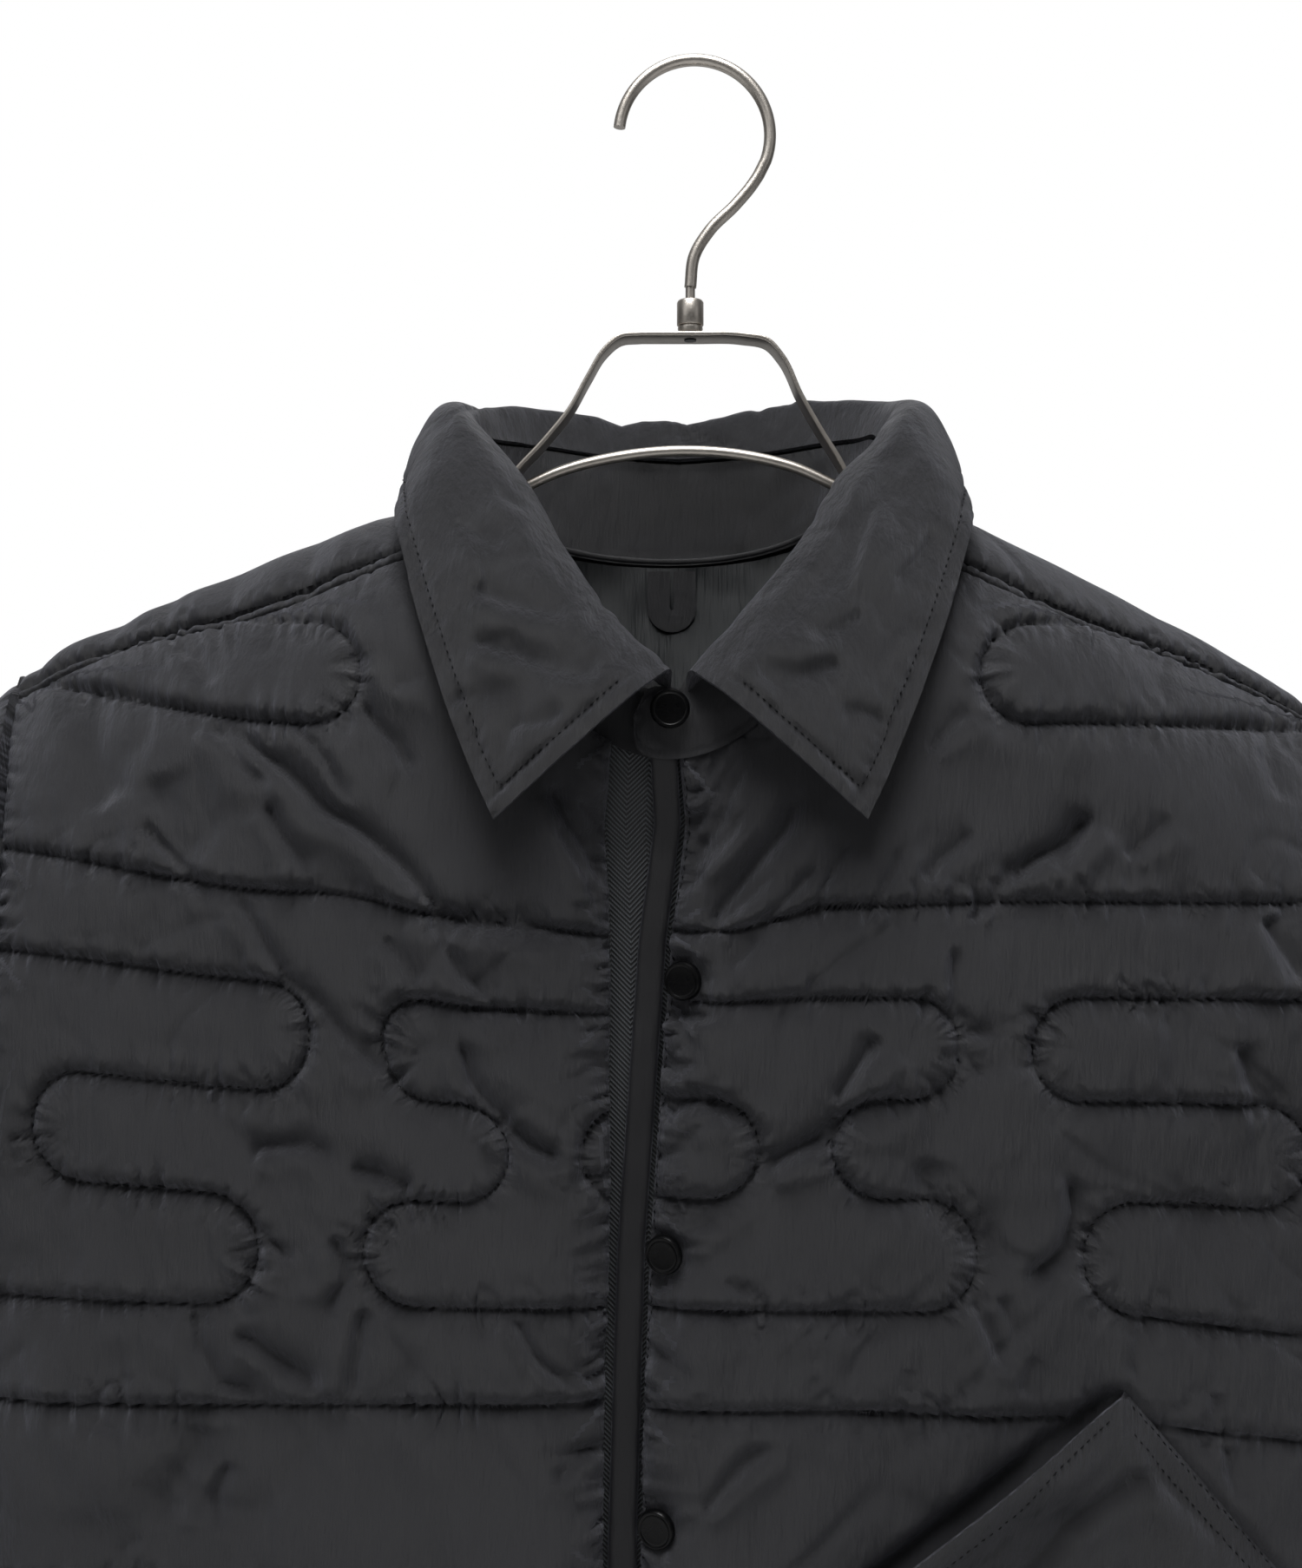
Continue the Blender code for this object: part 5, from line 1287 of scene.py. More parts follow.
# %% [markdown]
# ## Collar
# A shirt collar has two parts: a stand that rises from the neckline, and a leaf that is sewn
# to the stand's top, rolls over and falls outside it. Both follow the neck round, so their
# sections are laid out by angle, from the middle of the back to each front end. The leaf is
# plain nylon, topstitched 7 mm inside its edges; the stitching draws up short puckers.

# %% the collar's curves
COLLAR = {  # angle from the middle of the back; roll line and leaf's edge: aside, depth, height
    "angle": (0, 29, 51, 66, 80, 91, 103, 124, 149, 180),
    "roll_u": (0.0, 0.038, 0.066, 0.082, 0.0865, 0.079, 0.062, 0.043, 0.022, 0.004),
    "roll_y": (0.0450, 0.042, 0.033, 0.018, 0.001, -0.010, -0.021, -0.034, -0.045, -0.050),
    "roll_z": (-0.1300, -0.129, -0.1285, -0.131, -0.1355, -0.147, -0.167, -0.199, -0.225, -0.2435),
    "edge_u": (0.0, 0.050, 0.084, 0.102, 0.1095, 0.1080, 0.101, 0.089, 0.0775, 0.0678),
    "edge_y": (0.0570, 0.054, 0.047, 0.034, -0.001, -0.037, -0.0475, -0.0540, -0.0570, -0.0590),
    "edge_z": (-0.1985, -0.1975, -0.193, -0.183, -0.1715, -0.186, -0.212, -0.248, -0.277, -0.298),
}
COLLAR_CENTRE = {"back": -0.003, "front": -0.0055, "moves_from": 60.0, "moves_over": 90.0}
ROLL_LIFT = ((-80, -52, -35, -27, -19.6, -12.6, -4, 1.5, 9, 20, 31.5, 38, 50, 80),
             (0.0, -0.0010, -0.0008, -0.0026, -0.0060, -0.0034, -0.0030, -0.0050, -0.0020,
              0.0004, 0.0014, 0.0034, 0.0012, 0.0))
COLLAR_WALL, COLLAR_FOLD, COLLAR_BULGE = 0.002, 0.0058, 0.0075
FACING_STEP = 3.0
FACES_AHEAD = {"from": 70.0, "over": 30.0, "forward": 1.2, "up": 0.6}
STAND_WALL, STAND_SHARE = 0.0022, {"back": 0.32, "front": 0.22, "front_from": 150.0}
STAND_OVERLAP, STAND_LAP, STAND_LAP_FROM, STAND_LAP_OVER = 0.0152, 0.0016, 130.0, 40.0
STAND_INSET, STAND_END_SHARE, STAND_CLEAR, STAND_BOW = 0.0060, 0.85, 0.0014, 0.0010
LEAF_CLEAR, LEAF_EASE, LEAF_LIFT, LEAF_TURNED_BY = 0.0020, 0.020, 0.006, 0.09
STAND_INSIDE = {"middle": 0.0025, "side": 0.0052}


def collar_point(kind, angle):
    side, turn = (LEFT if angle >= 0 else RIGHT), abs(angle)
    share = float(smooth_step((turn - COLLAR_CENTRE["moves_from"]) / COLLAR_CENTRE["moves_over"]))
    middle = COLLAR_CENTRE["back"] + (COLLAR_CENTRE["front"] - COLLAR_CENTRE["back"]) * share
    u, y, z = (float(smooth_through(COLLAR["angle"], COLLAR[f"{kind}_{axis}"], turn)) for axis in "uyz")
    return np.array([middle + side * u, y, z])


def outward_at(angle):
    """Level and away from the neck, at a signed angle in degrees."""
    return np.array([sin(radians(angle)), cos(radians(angle)), 0.0])


def leaf_facing(angle):
    """Which way the leaf faces: square to the roll line and to the leaf's own fall."""
    before, after = max(angle - FACING_STEP, -180.0), min(angle + FACING_STEP, 180.0)
    along = collar_point("roll", after) - collar_point("roll", before)
    out = np.cross(collar_point("edge", angle) - collar_point("roll", angle), along)
    out /= np.linalg.norm(out)
    ahead = float(smooth_step((abs(angle) - FACES_AHEAD["from"]) / FACES_AHEAD["over"]))
    seen_from = outward_at(angle) + [0.0, -FACES_AHEAD["forward"] * ahead, FACES_AHEAD["up"]]
    return out if out @ seen_from > 0 else -out


def neck_point(angle):
    """The middle of the body's wall at the neckline."""
    side, turn = (LEFT if angle >= 0 else RIGHT), radians(abs(angle))
    u, z = neckline(side, turn)
    front = turn > pi / 2
    y = float(body_depth(side, u, z, front)) * (-1.0 if front else 1.0)
    inside = STAND_INSIDE["middle"] + (STAND_INSIDE["side"] - STAND_INSIDE["middle"]) * sin(turn) ** 2
    return np.array([CENTRE_X + side * u, y, float(z)]) - inside * outward_at(angle)


def stand_top(angle):
    """The seam between stand and leaf, below the roll line on its inner side."""
    held = float(np.clip(angle, -180.0, 180.0))
    ahead = min(abs(held) / STAND_SHARE["front_from"], 1.0)
    share = STAND_SHARE["back"] + (STAND_SHARE["front"] - STAND_SHARE["back"]) * ahead
    roll, base = collar_point("roll", held), neck_point(held)
    top = roll + (base - roll) * share - leaf_facing(held) * STAND_INSET
    return neck_point(angle) + (top - base) * STAND_END_SHARE if abs(angle) > 180.0 else top


def smooth_path(points, count):
    """Evenly spaced points of a smooth curve through the given ones."""
    points = np.asarray(points, float)
    length = np.concatenate([[0.0], np.cumsum(np.linalg.norm(np.diff(points, axis=0), axis=1))])
    at = np.linspace(0.0, length[-1], count)
    return np.stack([smooth_through(length, column, at) for column in points.T], axis=-1)


print("roll line at the back:", collar_point("roll", 0.0).round(3))


# %% collar leaf
LEAF_STATIONS, LEAF_ROWS, LEAF_OUTSIDE_FROM = 380, 52, 0.375
LEAF_STITCH, LEAF_SINKS = {"inset": 0.0068, "groove": 0.0009, "half_width": 0.0016}, 0.0023
LEAF_RAISED = 0.0008


def resting_on_body(points, clear):
    """Points of the leaf, moved out where the body's shell lies under them."""
    side = np.where(points[:, 0] >= CENTRE_X, LEFT, RIGHT)
    for which in (RIGHT, LEFT):
        for front in (False, True):
            here = (side == which) & ((points[:, 1] < 0.0) == front)
            if not here.any():
                continue
            x, y, z = points[here].T
            u = np.abs(x - CENTRE_X)
            turn = np.arcsin(np.minimum(u / NECK_HALF, 1.0))
            at_neck = neckline(which, pi - turn if front else turn)[1]
            limit = np.where(u < NECK_HALF, at_neck, ridge_z(which, u))
            covered = smooth_step((limit + LEAF_EASE - z) / LEAF_EASE)
            steep = 1.0 - np.clip((ridge_z(which, u) - z) / ridge_radius(u), 0.0, 1.0)
            depth = covered * (body_depth(which, u, z, front) + clear + LEAF_LIFT * steep)
            points[here, 1] = np.minimum(y, -depth) if front else np.maximum(y, depth)
    return points


def distance_along(grid, axis):
    steps = np.linalg.norm(np.diff(grid, axis=axis), axis=-1)
    start = np.zeros_like(np.take(steps, [0], axis=axis))
    return np.cumsum(np.concatenate([start, steps], axis=axis), axis=axis)


def leaf_grid():
    angles = np.linspace(-180.0, 180.0, LEAF_STATIONS)
    first = int(LEAF_OUTSIDE_FROM * (LEAF_ROWS - 1))
    columns = []
    for angle in angles:
        lift = np.array([0.0, 0.0, float(np.interp(angle, *ROLL_LIFT))])
        lift = lift + [0.0, 0.0, 0.0007 * float(soft_noise(angle, 0.0, 9.0, 101))]
        roll, edge = collar_point("roll", angle) + lift, collar_point("edge", angle)
        out, seam = leaf_facing(angle), stand_top(angle)
        seam = seam + (roll - seam) * LEAF_CLEAR / np.linalg.norm(roll - seam)
        near = roll + (edge - roll) * LEAF_TURNED_BY + out * COLLAR_FOLD
        middle = 0.5 * (roll + edge) + out * COLLAR_BULGE
        column = smooth_path([seam, roll, near, middle, edge], LEAF_ROWS)
        column[first:] = resting_on_body(column[first:], COLLAR_WALL + LEAF_CLEAR)
        columns.append(column)
    return np.stack(columns, axis=1), angles


LEAF_FOLDS = (
    (1.6, 4.0, (-89, -188), (-80, -192), (-70, -199)),
    (2.2, 3.6, (-84, -213), (-68, -218), (-55, -221), (-46, -226)),
    (2.4, 3.6, (-83, -232), (-67, -236), (-52, -241), (-33, -246)),
    (1.8, 2.8, (-67, -264), (-56, -263), (-46, -260)),
    (1.4, 2.6, (-78, -176), (-62, -184), (-54, -196)),
    (1.4, 2.6, (-40, -222), (-33, -230), (-24, -236)),
    (2.8, 4.6, (74, -168), (63, -186), (54, -199), (44, -210), (34, -218), (22, -226), (11, -233)),
    (1.8, 3.4, (64, -222), (52, -228), (40, -231)),
    (2.0, 3.6, (56, -242), (38, -245), (20, -243)),
    (1.6, 2.8, (70, -262), (60, -258), (50, -259)),
    (1.4, 2.6, (90, -190), (84, -200), (72, -212)),
)


def make_leaf():
    grid, angles = leaf_grid()
    normal = normals_of(grid, np.stack([outward_at(a) for a in angles])[None])
    down, across = distance_along(grid, 0), distance_along(grid, 1)
    from_edge = down[-1:] - down
    from_front = np.minimum(across, across[:, -1:] - across)
    rim = np.minimum(from_edge, from_front)
    along = np.where(from_edge < from_front, across, down)
    gap = np.abs(rim - LEAF_STITCH["inset"])
    x, z = grid[..., 0], grid[..., 2]
    side = np.where(angles >= 0.0, 1.0, -1.0)[None, :] * np.ones_like(x)
    outside = smooth_step((np.arange(LEAF_ROWS)[:, None] / (LEAF_ROWS - 1) - 0.20) / 0.12)
    relief = -LEAF_STITCH["groove"] * bell(gap, LEAF_STITCH["half_width"])
    relief += 0.00035 * bell(rim - 0.0030, 0.0030)
    relief += puckers(gap + 0.0012, along, 0.0008, 0.0068, 0.0085, seed=103)
    relief = relief * outside
    crease = np.zeros_like(x)
    for lean, seed, size, depth in ((0.55, 105, 0.026, 0.0013), (0.95, 107, 0.016, 0.0009)):
        slanted = np.where(side < 0, fine_creases(x, z, seed, lean, size, depth),
                           fine_creases(-x, z, seed + 20, lean, size, depth))
        crease += slanted * smooth_step(rim / 0.004)
    relief += 0.0011 * soft_noise(x, z, 0.030, 109, 1.4) * smooth_step(rim / 0.010)
    facing_front = outside * (grid[..., 1] < 0.010) * smooth_step(rim / 0.007)
    crease += 1.5 * folds_at(x, z, LEAF_FOLDS) * facing_front
    moved = np.maximum(crease, -LEAF_SINKS) + LEAF_RAISED * smooth_step(rim / 0.012) * outside
    moved = moved + 0.0006 * soft_noise(x, z, 0.055, 110)
    grid = grid + normal * moved[..., None]
    half = 0.5 * COLLAR_WALL
    outer = grid + normal * (half + np.maximum(relief, -0.0012))[..., None]
    piece = cloth_wall("collar_leaf_stitched", outer, grid - normal * half, PLAIN_NYLON, stride=(2, 2))
    stands_for("collar_leaf")
    print("leaf", len(piece.data.polygons), "faces")
    return piece, outer, rim


LEAF, LEAF_OUTER, LEAF_RIM = make_leaf()

# %% [markdown]
# ## Collar stand
# The stand shows twice: its inner face behind the neck, above a bound seam, and its rounded
# end with a snap, which lies below the leaf's fold at the front. It is one sheet round the
# neck whose two ends lap over each other.

# %% stand
STAND_STATIONS, STAND_ROWS, STAND_TAB_RISE, STAND_TUCK = 400, 18, 0.005, 0.0035


def make_stand():
    past = 180.0 + np.degrees(asin(STAND_OVERLAP / NECK_HALF))
    middle_part = np.linspace(-180.0, 180.0, STAND_STATIONS)
    end = 180.0 + (past - 180.0) * np.sin(np.linspace(0.0, pi / 2, 24)[1:])
    angles = np.concatenate([-end[::-1], middle_part, end])
    columns = []
    for angle in angles:
        lapped = float(smooth_step((abs(angle) - STAND_LAP_FROM) / STAND_LAP_OVER))
        shift = np.array([0.0, STAND_LAP * lapped * (-1.0 if angle > 0 else 1.0), 0.0])
        base, top = neck_point(angle) + shift, stand_top(angle) + shift
        tucked = STAND_TUCK * float(smooth_step((abs(angle) - 120.0) / 25.0))
        base = base + (top - base) * (STAND_CLEAR - tucked) / np.linalg.norm(top - base)
        top[2] += STAND_TAB_RISE * float(smooth_step((abs(angle) - 168.0) / 14.0))
        bow = 0.5 * (base + top) + outward_at(angle) * STAND_BOW
        column = smooth_path([base, bow, top], STAND_ROWS)
        beyond = max(0.0, (abs(angle) - 180.0) / (past - 180.0))
        round_off = sqrt(max(1.0 - beyond ** 6, 0.0025))
        columns.append(column.mean(axis=0) + (column - column.mean(axis=0)) * round_off)
    grid = np.stack(columns, axis=1)
    normal = normals_of(grid, np.stack([outward_at(a) for a in angles])[None])
    down, across = distance_along(grid, 0), distance_along(grid, 1)
    rim = np.minimum(np.minimum(down, down[-1:] - down), np.minimum(across, across[:, -1:] - across))
    half = 0.5 * STAND_WALL
    stitch = -0.0004 * bell(rim - 0.0028, 0.0009)
    soft = 0.0007 * soft_noise(across, down, 0.016, 111, 0.8)
    soft = soft + fine_creases(across, down, 113, 0.4, 0.020, 0.0006)
    relief = stitch + soft * smooth_step(rim / 0.006)
    relief += puckers(rim - 0.0028, across, 0.00025, 0.005, 0.004, 115)
    outer = grid + normal * (half + np.clip(relief + stitch, -0.0010, 0.0005))[..., None]
    inner = grid - normal * (half + np.clip(relief, -0.0009, 0.0009))[..., None]
    piece = cloth_wall("collar_stand_stitched", outer, inner, PLAIN_NYLON, stride=(1, 1))
    stands_for("collar_stand")
    print("stand", len(piece.data.polygons), "faces, ends at", round(past, 1), "degrees")
    return piece


STAND = make_stand()

# %% [markdown]
# ## Front edge, tape, pocket and loop
# Down the left front's edge runs a smooth folded band of the shell's nylon. Left of it, and
# behind the right front's edge, lies a herringbone tape that backs the snaps. Both are narrow
# strips laid between two curves. The tape's width and length are kept on its mesh as numbers,
# and its weave is drawn from these.

# %% strips
TAPE_REACH, TAPE_BEHIND, TAPE_TUCK = 0.013, 0.0045, 0.0075
BAND_WALL, PLAIN_WALL = 0.003, 0.0015
HERRINGBONE_AT = 0.0068  # the tape's first chevron lies this far inside the right front's edge


def strip_grid(side, inner_u, outer_u, behind, rows, across):
    start = FRONT_EDGES["z"][1]
    share = np.linspace(0.0, 1.0, across)[None, :]
    top_u = inner_u(start) + share * (outer_u(start) - inner_u(start))
    top = neckline(side, pi - np.arcsin(top_u / NECK_HALF))[1] - SEAM_GAP
    z = top + np.linspace(0.0, 1.0, rows)[:, None] ** 1.15 * (HEM_Z - top)
    u = inner_u(z) + share * (outer_u(z) - inner_u(z))
    grid = body_point(side, u, z, True)
    at_edge = edge_half(WORD[side], z)
    grid[..., 1] = behind - body_depth(side, np.minimum(u, at_edge), z, True)
    return grid, u, z, share


def make_band():
    grid, u, z, share = strip_grid(LEFT, lambda z: edge_half("band", z),
                                   lambda z: edge_half("left", z) - 1.5 * SEAM_GAP, 0.0, 420, 13)
    rounding = 0.0016 * (1.0 - np.sqrt(np.clip(1.0 - (2.0 * share - 1.0) ** 4, 0.0, 1.0)))
    roll = 0.0005 * soft_noise(z, 0 * z, 0.045, 121) + 0.0003 * soft_noise(z, u, 0.012, 123)
    grid[..., 1] += rounding - roll
    piece = cloth_wall("front_band_folded", grid, grid + [0.0, BAND_WALL - 0.0006, 0.0], BAND_NYLON,
                       stride=(3, 3))
    stands_for("front_band")
    return piece


def make_tape():
    grid, u, z, _ = strip_grid(RIGHT, lambda z: np.full_like(np.asarray(z, float), -TAPE_REACH),
                               lambda z: edge_half("right", z) + TAPE_TUCK, TAPE_BEHIND, 420, 61)
    grid[..., 1] -= 0.0004 * soft_noise(u, z, 0.020, 125, 2.0)
    centre = edge_half("right", z) - HERRINGBONE_AT
    piece = cloth_wall("underlap_tape_twill", grid, grid + [0.0, PLAIN_WALL, 0.0], TAPE_TWILL,
                       stride=(3, 3), marks={"across": u - centre, "down": z + 0 * u})
    stands_for("underlap_tape")
    return piece


BAND = make_band()
TAPE = make_tape()
print("band and tape:", len(BAND.data.polygons), len(TAPE.data.polygons), "faces")

# %% pocket patch
POCKET_CLEAR = 0.0006
PATCH_FOLDS = (
    (2.6, 3.4, (133, -560), (160, -543), (178, -539)),
    (2.2, 3.0, (112, -577), (128, -566), (141, -550)),
    (2.4, 3.2, (168, -528), (176, -545), (196, -566)),
    (2.0, 2.6, (92, -590), (110, -583), (131, -580)),
    (2.4, 4.0, (150, -575), (172, -590), (182, -615)),
    (2.2, 4.0, (80, -620), (110, -640), (150, -650)),
)


def pocket_top(x):
    """Height of the patch's upper outline: its mouth, then the edge sewn down past the apex."""
    apex_x, apex_z = POCKET["apex"]
    slope = np.where(x < apex_x, -POCKET["mouth_slope"], POCKET["sewn_slope"])
    return apex_z - slope * (x - apex_x)


def make_pocket():
    apex_x = POCKET["apex"][0]
    x = np.concatenate([np.linspace(POCKET["left"], apex_x, 72),
                        np.linspace(apex_x, POCKET["right"], 40)[1:]])
    top = pocket_top(x)[None, :]
    z = top + np.linspace(0.0, 1.0, 110)[:, None] ** 1.25 * (POCKET["bottom"] - top)
    x = np.broadcast_to(x, z.shape)
    below = top - z
    open_part = smooth_step((apex_x - x) / POCKET["gape_reach"])
    open_part = open_part * smooth_step((x - POCKET["left"]) / POCKET["gape_starts"])
    lift = POCKET["gape"] * open_part * (1.0 - smooth_step(below / POCKET["gape_reach"]))
    rim = np.minimum(np.minimum(x - POCKET["left"], POCKET["right"] - x), z - POCKET["bottom"])
    rim = np.minimum(rim, np.where(x < apex_x, 1.0, below * 0.66))
    soft = 0.0020 * (soft_noise(x + z, z - x, 0.040, 131) + 0.6)
    valley = 0.0030 * bell(below - 0.030, 0.010) * open_part
    crease = fine_creases(x, z, 133, 0.65, 0.030, 0.0009) + fine_creases(x, z, 135, -0.9, 0.022, 0.0005)
    crease += folds_at(x, z, PATCH_FOLDS)
    inner = body_point(LEFT, x - CENTRE_X, z, True)
    plump = smooth_step(rim / 0.016)
    puff = np.maximum((soft + 0.0014 - valley + crease) * plump, -0.0002) + lift
    puff = puff + puckers(np.abs(rim - 0.004), x - z, 0.0003, 0.006, 0.005, 137) * smooth_step(rim / 0.003)
    inner[..., 1] -= POCKET_CLEAR + np.maximum(puff, 0.0)
    outer = inner - [0.0, PLAIN_WALL, 0.0]
    outer[..., 1] += 0.0008 * bell(rim, 0.0012)
    piece = cloth_wall("pocket_patch_plain", outer, inner, PLAIN_NYLON, stride=(2, 2))
    stands_for("pocket_patch")
    print("patch", len(piece.data.polygons), "faces")
    return piece, outer


PATCH, PATCH_OUTER = make_pocket()

# %% hanging loop
LOOP = {"x": -0.0076, "half_width": 0.0100, "tape": 0.0092, "y": 0.0282, "top": -0.1975,
        "drop": 0.0205, "wall": 0.0010}


def make_loop():
    """A narrow folded strip, sewn in at both ends, that hangs as a U."""
    bend = LOOP["half_width"] - 0.5 * LOOP["tape"]
    x, top, low = LOOP["x"], LOOP["top"], LOOP["top"] - LOOP["drop"] + bend
    turn = np.linspace(pi, 2 * pi, 30)
    legs = np.linspace(top, low, 14)[:-1]
    path = [(x - bend, z) for z in legs] + [(x + bend * cos(a), low + bend * sin(a)) for a in turn]
    path = np.array(path + [(x + bend, z) for z in legs[::-1]])
    along = np.gradient(path, axis=0)
    along /= np.linalg.norm(along, axis=1, keepdims=True)
    square = np.stack([-along[:, 1], along[:, 0]], axis=1)
    share = np.linspace(-0.5, 0.5, 9)
    flat = path[:, None] + square[:, None] * (share[:, None] * LOOP["tape"])[None]
    y = LOOP["y"] - 0.0003 * np.cos(share * 2 * pi)[None, :]
    y = y + 0.0002 * soft_noise(flat[..., 0], flat[..., 1], 0.004, 141)
    grid = np.stack([flat[..., 0], y + 0 * flat[..., 0], flat[..., 1]], axis=-1)
    piece = cloth_wall("hanger_loop_strip", grid, grid - [0.0, LOOP["wall"], 0.0], PLAIN_NYLON, stride=(2, 2))
    stands_for("hanger_loop")
    return piece


LOOP_PIECE = make_loop()
print("loop", len(LOOP_PIECE.data.polygons), "faces")

# %% [markdown]
# ## Neck binding
# The seam between stand and lining is covered by a narrow folded binding, which shows as a
# double line behind the neck.

# %% binding
BINDING = {"height": 0.0024, "plump": 0.0004, "reach": 118.0, "lift": 0.0026}


def make_binding():
    angles = np.linspace(-BINDING["reach"], BINDING["reach"], 260)
    turn = np.linspace(0.0, 2.0 * pi, 12, endpoint=False)
    rings = []
    for angle in angles:
        base, out = neck_point(angle), outward_at(angle)
        rise = stand_top(angle) - base
        rise /= np.linalg.norm(rise)
        centre = base + rise * BINDING["lift"] - out * (0.5 * STAND_WALL + 0.0010)
        rings.append([centre + rise * 0.5 * BINDING["height"] * sin(t) + out * BINDING["plump"] * cos(t)
                      for t in turn])
    grid = np.array(rings)
    wobble = 1.0 + 0.10 * soft_noise(angles, 0 * angles, 5.0, 151)[:, None, None]
    grid = grid.mean(axis=1, keepdims=True) + (grid - grid.mean(axis=1, keepdims=True)) * wobble
    mesh = bpy.data.meshes.new("neck_binding")
    count, around = len(angles), len(turn)
    faces = [(r * around + k, r * around + (k + 1) % around, (r + 1) * around + (k + 1) % around,
              (r + 1) * around + k) for r in range(count - 1) for k in range(around)]
    faces += [tuple(range(around))[::-1], tuple(range((count - 1) * around, count * around))]
    mesh.from_pydata(grid.reshape(-1, 3).tolist(), [], faces)
    mesh.shade_smooth()
    piece = placed("neck_binding", mesh, BAND_NYLON)
    return piece


BINDING_PIECE = make_binding()
print("binding", len(BINDING_PIECE.data.polygons), "faces")

# %% [markdown]
# ## Snaps
# Each snap's cap is a turned disc: a bevelled rim, a shallow groove and a slightly hollow
# face, painted black. The cap is pressed into the padding, and the puckers run out from it.

# %% snap caps
SNAP_CAP = {"diameter": 0.0148, "height": 0.0024}
SNAP_TURN, SNAP_CLEAR = radians(24), 0.0010
SNAP_AT_COLLAR = (-0.0092, -0.0492, -0.2575)
CAP_PROFILE = ((0.0, 0.86), (0.40, 0.86), (0.66, 0.90), (0.745, 0.93), (0.775, 0.88), (0.80, 0.93),
               (0.86, 1.0), (0.91, 0.97), (0.965, 0.72), (1.0, 0.40), (1.0, 0.0), (0.0, 0.0))


def turned(name, profile, material, slot, steps=64):
    """A turned piece about Z from (radius, height) points, from its top axis down and round."""
    angle = np.linspace(0.0, 2.0 * pi, steps, endpoint=False)
    rings = [(r, z) for r, z in profile if r > 1e-9]
    points = [(r * cos(t), r * sin(t), z) for r, z in rings for t in angle]
    top, bottom = len(points), len(points) + 1
    points += [(0.0, 0.0, profile[0][1]), (0.0, 0.0, profile[-1][1])]
    faces = [(k * steps + j, k * steps + i, (k + 1) * steps + i, (k + 1) * steps + j)
             for k in range(len(rings) - 1) for i in range(steps) for j in [(i + 1) % steps]]
    last = (len(rings) - 1) * steps
    faces += [(top, i, (i + 1) % steps) for i in range(steps)]
    faces += [(bottom, last + (i + 1) % steps, last + i) for i in range(steps)]
    mesh = bpy.data.meshes.new(name)
    mesh.from_pydata(points, [], faces)
    mesh.shade_smooth()
    mesh.set_sharp_from_angle(angle=radians(40))
    return placed(name, mesh, material)


def snap_places():
    places = [(np.array(SNAP_AT_COLLAR), 0.0)]
    for z in SNAP_HEIGHTS:
        u = float(edge_half("left", z)) + SNAP_FROM_EDGE
        place = body_point(LEFT, np.array(u), np.array(z), True)
        places.append((place - np.array([0.0, SNAP_CLEAR, 0.0]), SNAP_TURN))
    return places


def make_snaps():
    radius, tall = 0.5 * SNAP_CAP["diameter"], SNAP_CAP["height"]
    for index, (place, turn) in enumerate(snap_places()):
        profile = [(r * radius, z * tall) for r, z in CAP_PROFILE]
        cap = turned(f"snap_cap_{index + 1}_turned", profile, SNAP_PAINT, "snap_black")
        cap.location = place
        cap.rotation_euler = (pi / 2, 0.0, -turn)
        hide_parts(f"snap_cap_{index + 1}")


make_snaps()
print("snaps:", SNAP_COUNT + 1)

# %% [markdown]
# ## Hanger
# The hanger is bent from plated steel: a round hook that turns in a ferrule, a flat strip
# that forms a bracket and runs out into the two arms, and a thinner round bar that bows
# between the bracket's legs. Round rods are curves with a bevel; the strip is a mesh with a
# thickness and softened edges.

# %% hanger
ROD_RADIUS, BAR_RADIUS = 0.0024, 0.0022
HOOK_CENTRE, HOOK_RADIUS = (0.0011, -0.0276), 0.0300
HOOK_END_ANGLE, HOOK_LEAVES_ANGLE = radians(174), radians(-20)
HOOK_TAIL = ((0.0245, -0.0465), (0.0175, -0.0550), (0.0070, -0.0655), (0.0010, -0.0755), (-0.0006, -0.0880))
FERRULE_X = -0.0006
FERRULE_PROFILE = (  # radius and height in millimetres, from the pin's top down
    (0.0, -88.2), (1.9, -88.2), (1.9, -93.1), (4.0, -93.1), (4.8, -93.4), (5.3, -94.2), (5.3, -103.0),
    (5.1, -103.3), (4.2, -103.4), (4.2, -103.8), (4.9, -104.0), (5.0, -104.6), (4.6, -106.0), (0.0, -106.0))
BRACKET_DEPTH, BRACKET_WALL, BRACKET_EDGE = 0.014, 0.0017, 0.0004
BRACKET_LEFT = ((0.0, -0.1080), (0.020, -0.1084), (0.0300, -0.1105), (0.0355, -0.1165), (0.043, -0.1320),
                (0.051, -0.1460), (0.059, -0.1590), (0.0655, -0.1725), (0.078, -0.1860))
BRACKET_RIGHT = ((-0.020, -0.1080), (-0.0285, -0.1090), (-0.0345, -0.1140), (-0.0410, -0.1245),
                 (-0.048, -0.1370), (-0.058, -0.1495), (-0.071, -0.1635), (-0.0820, -0.1785),
                 (-0.097, -0.1915))
ARM_FROM, ARM_HALF, ARM_BELOW_RIDGE = 0.108, 0.205, 0.0100
BAR = ((-0.0700, -0.1690), (-0.052, -0.1610), (-0.030, -0.1555), (-0.004, -0.1530), (0.022, -0.1550),
       (0.042, -0.1600), (0.0565, -0.1665))
# Radius, height below the origin and thickness of a black disc under the bracket: painted shade that stands
# for the dark hole where the ferrule's pin passes.
RIVET = {"hole_shade": 0.0024, "below": 0.1089, "tall": 0.0004}


def rod(name, points, radius, node):
    """A round rod along points in X and Z."""
    curve = bpy.data.curves.new(name, "CURVE")
    curve.dimensions = "3D"
    curve.bevel_depth, curve.bevel_resolution, curve.use_fill_caps = radius, 6, True
    spline = curve.splines.new("POLY")
    spline.points.add(len(points) - 1)
    for slot, (x, z) in zip(spline.points, points):
        slot.co = (x, 0.0, z, 1.0)
    spline.use_smooth = True
    piece = placed(name, curve, NICKEL)
    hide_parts(node)


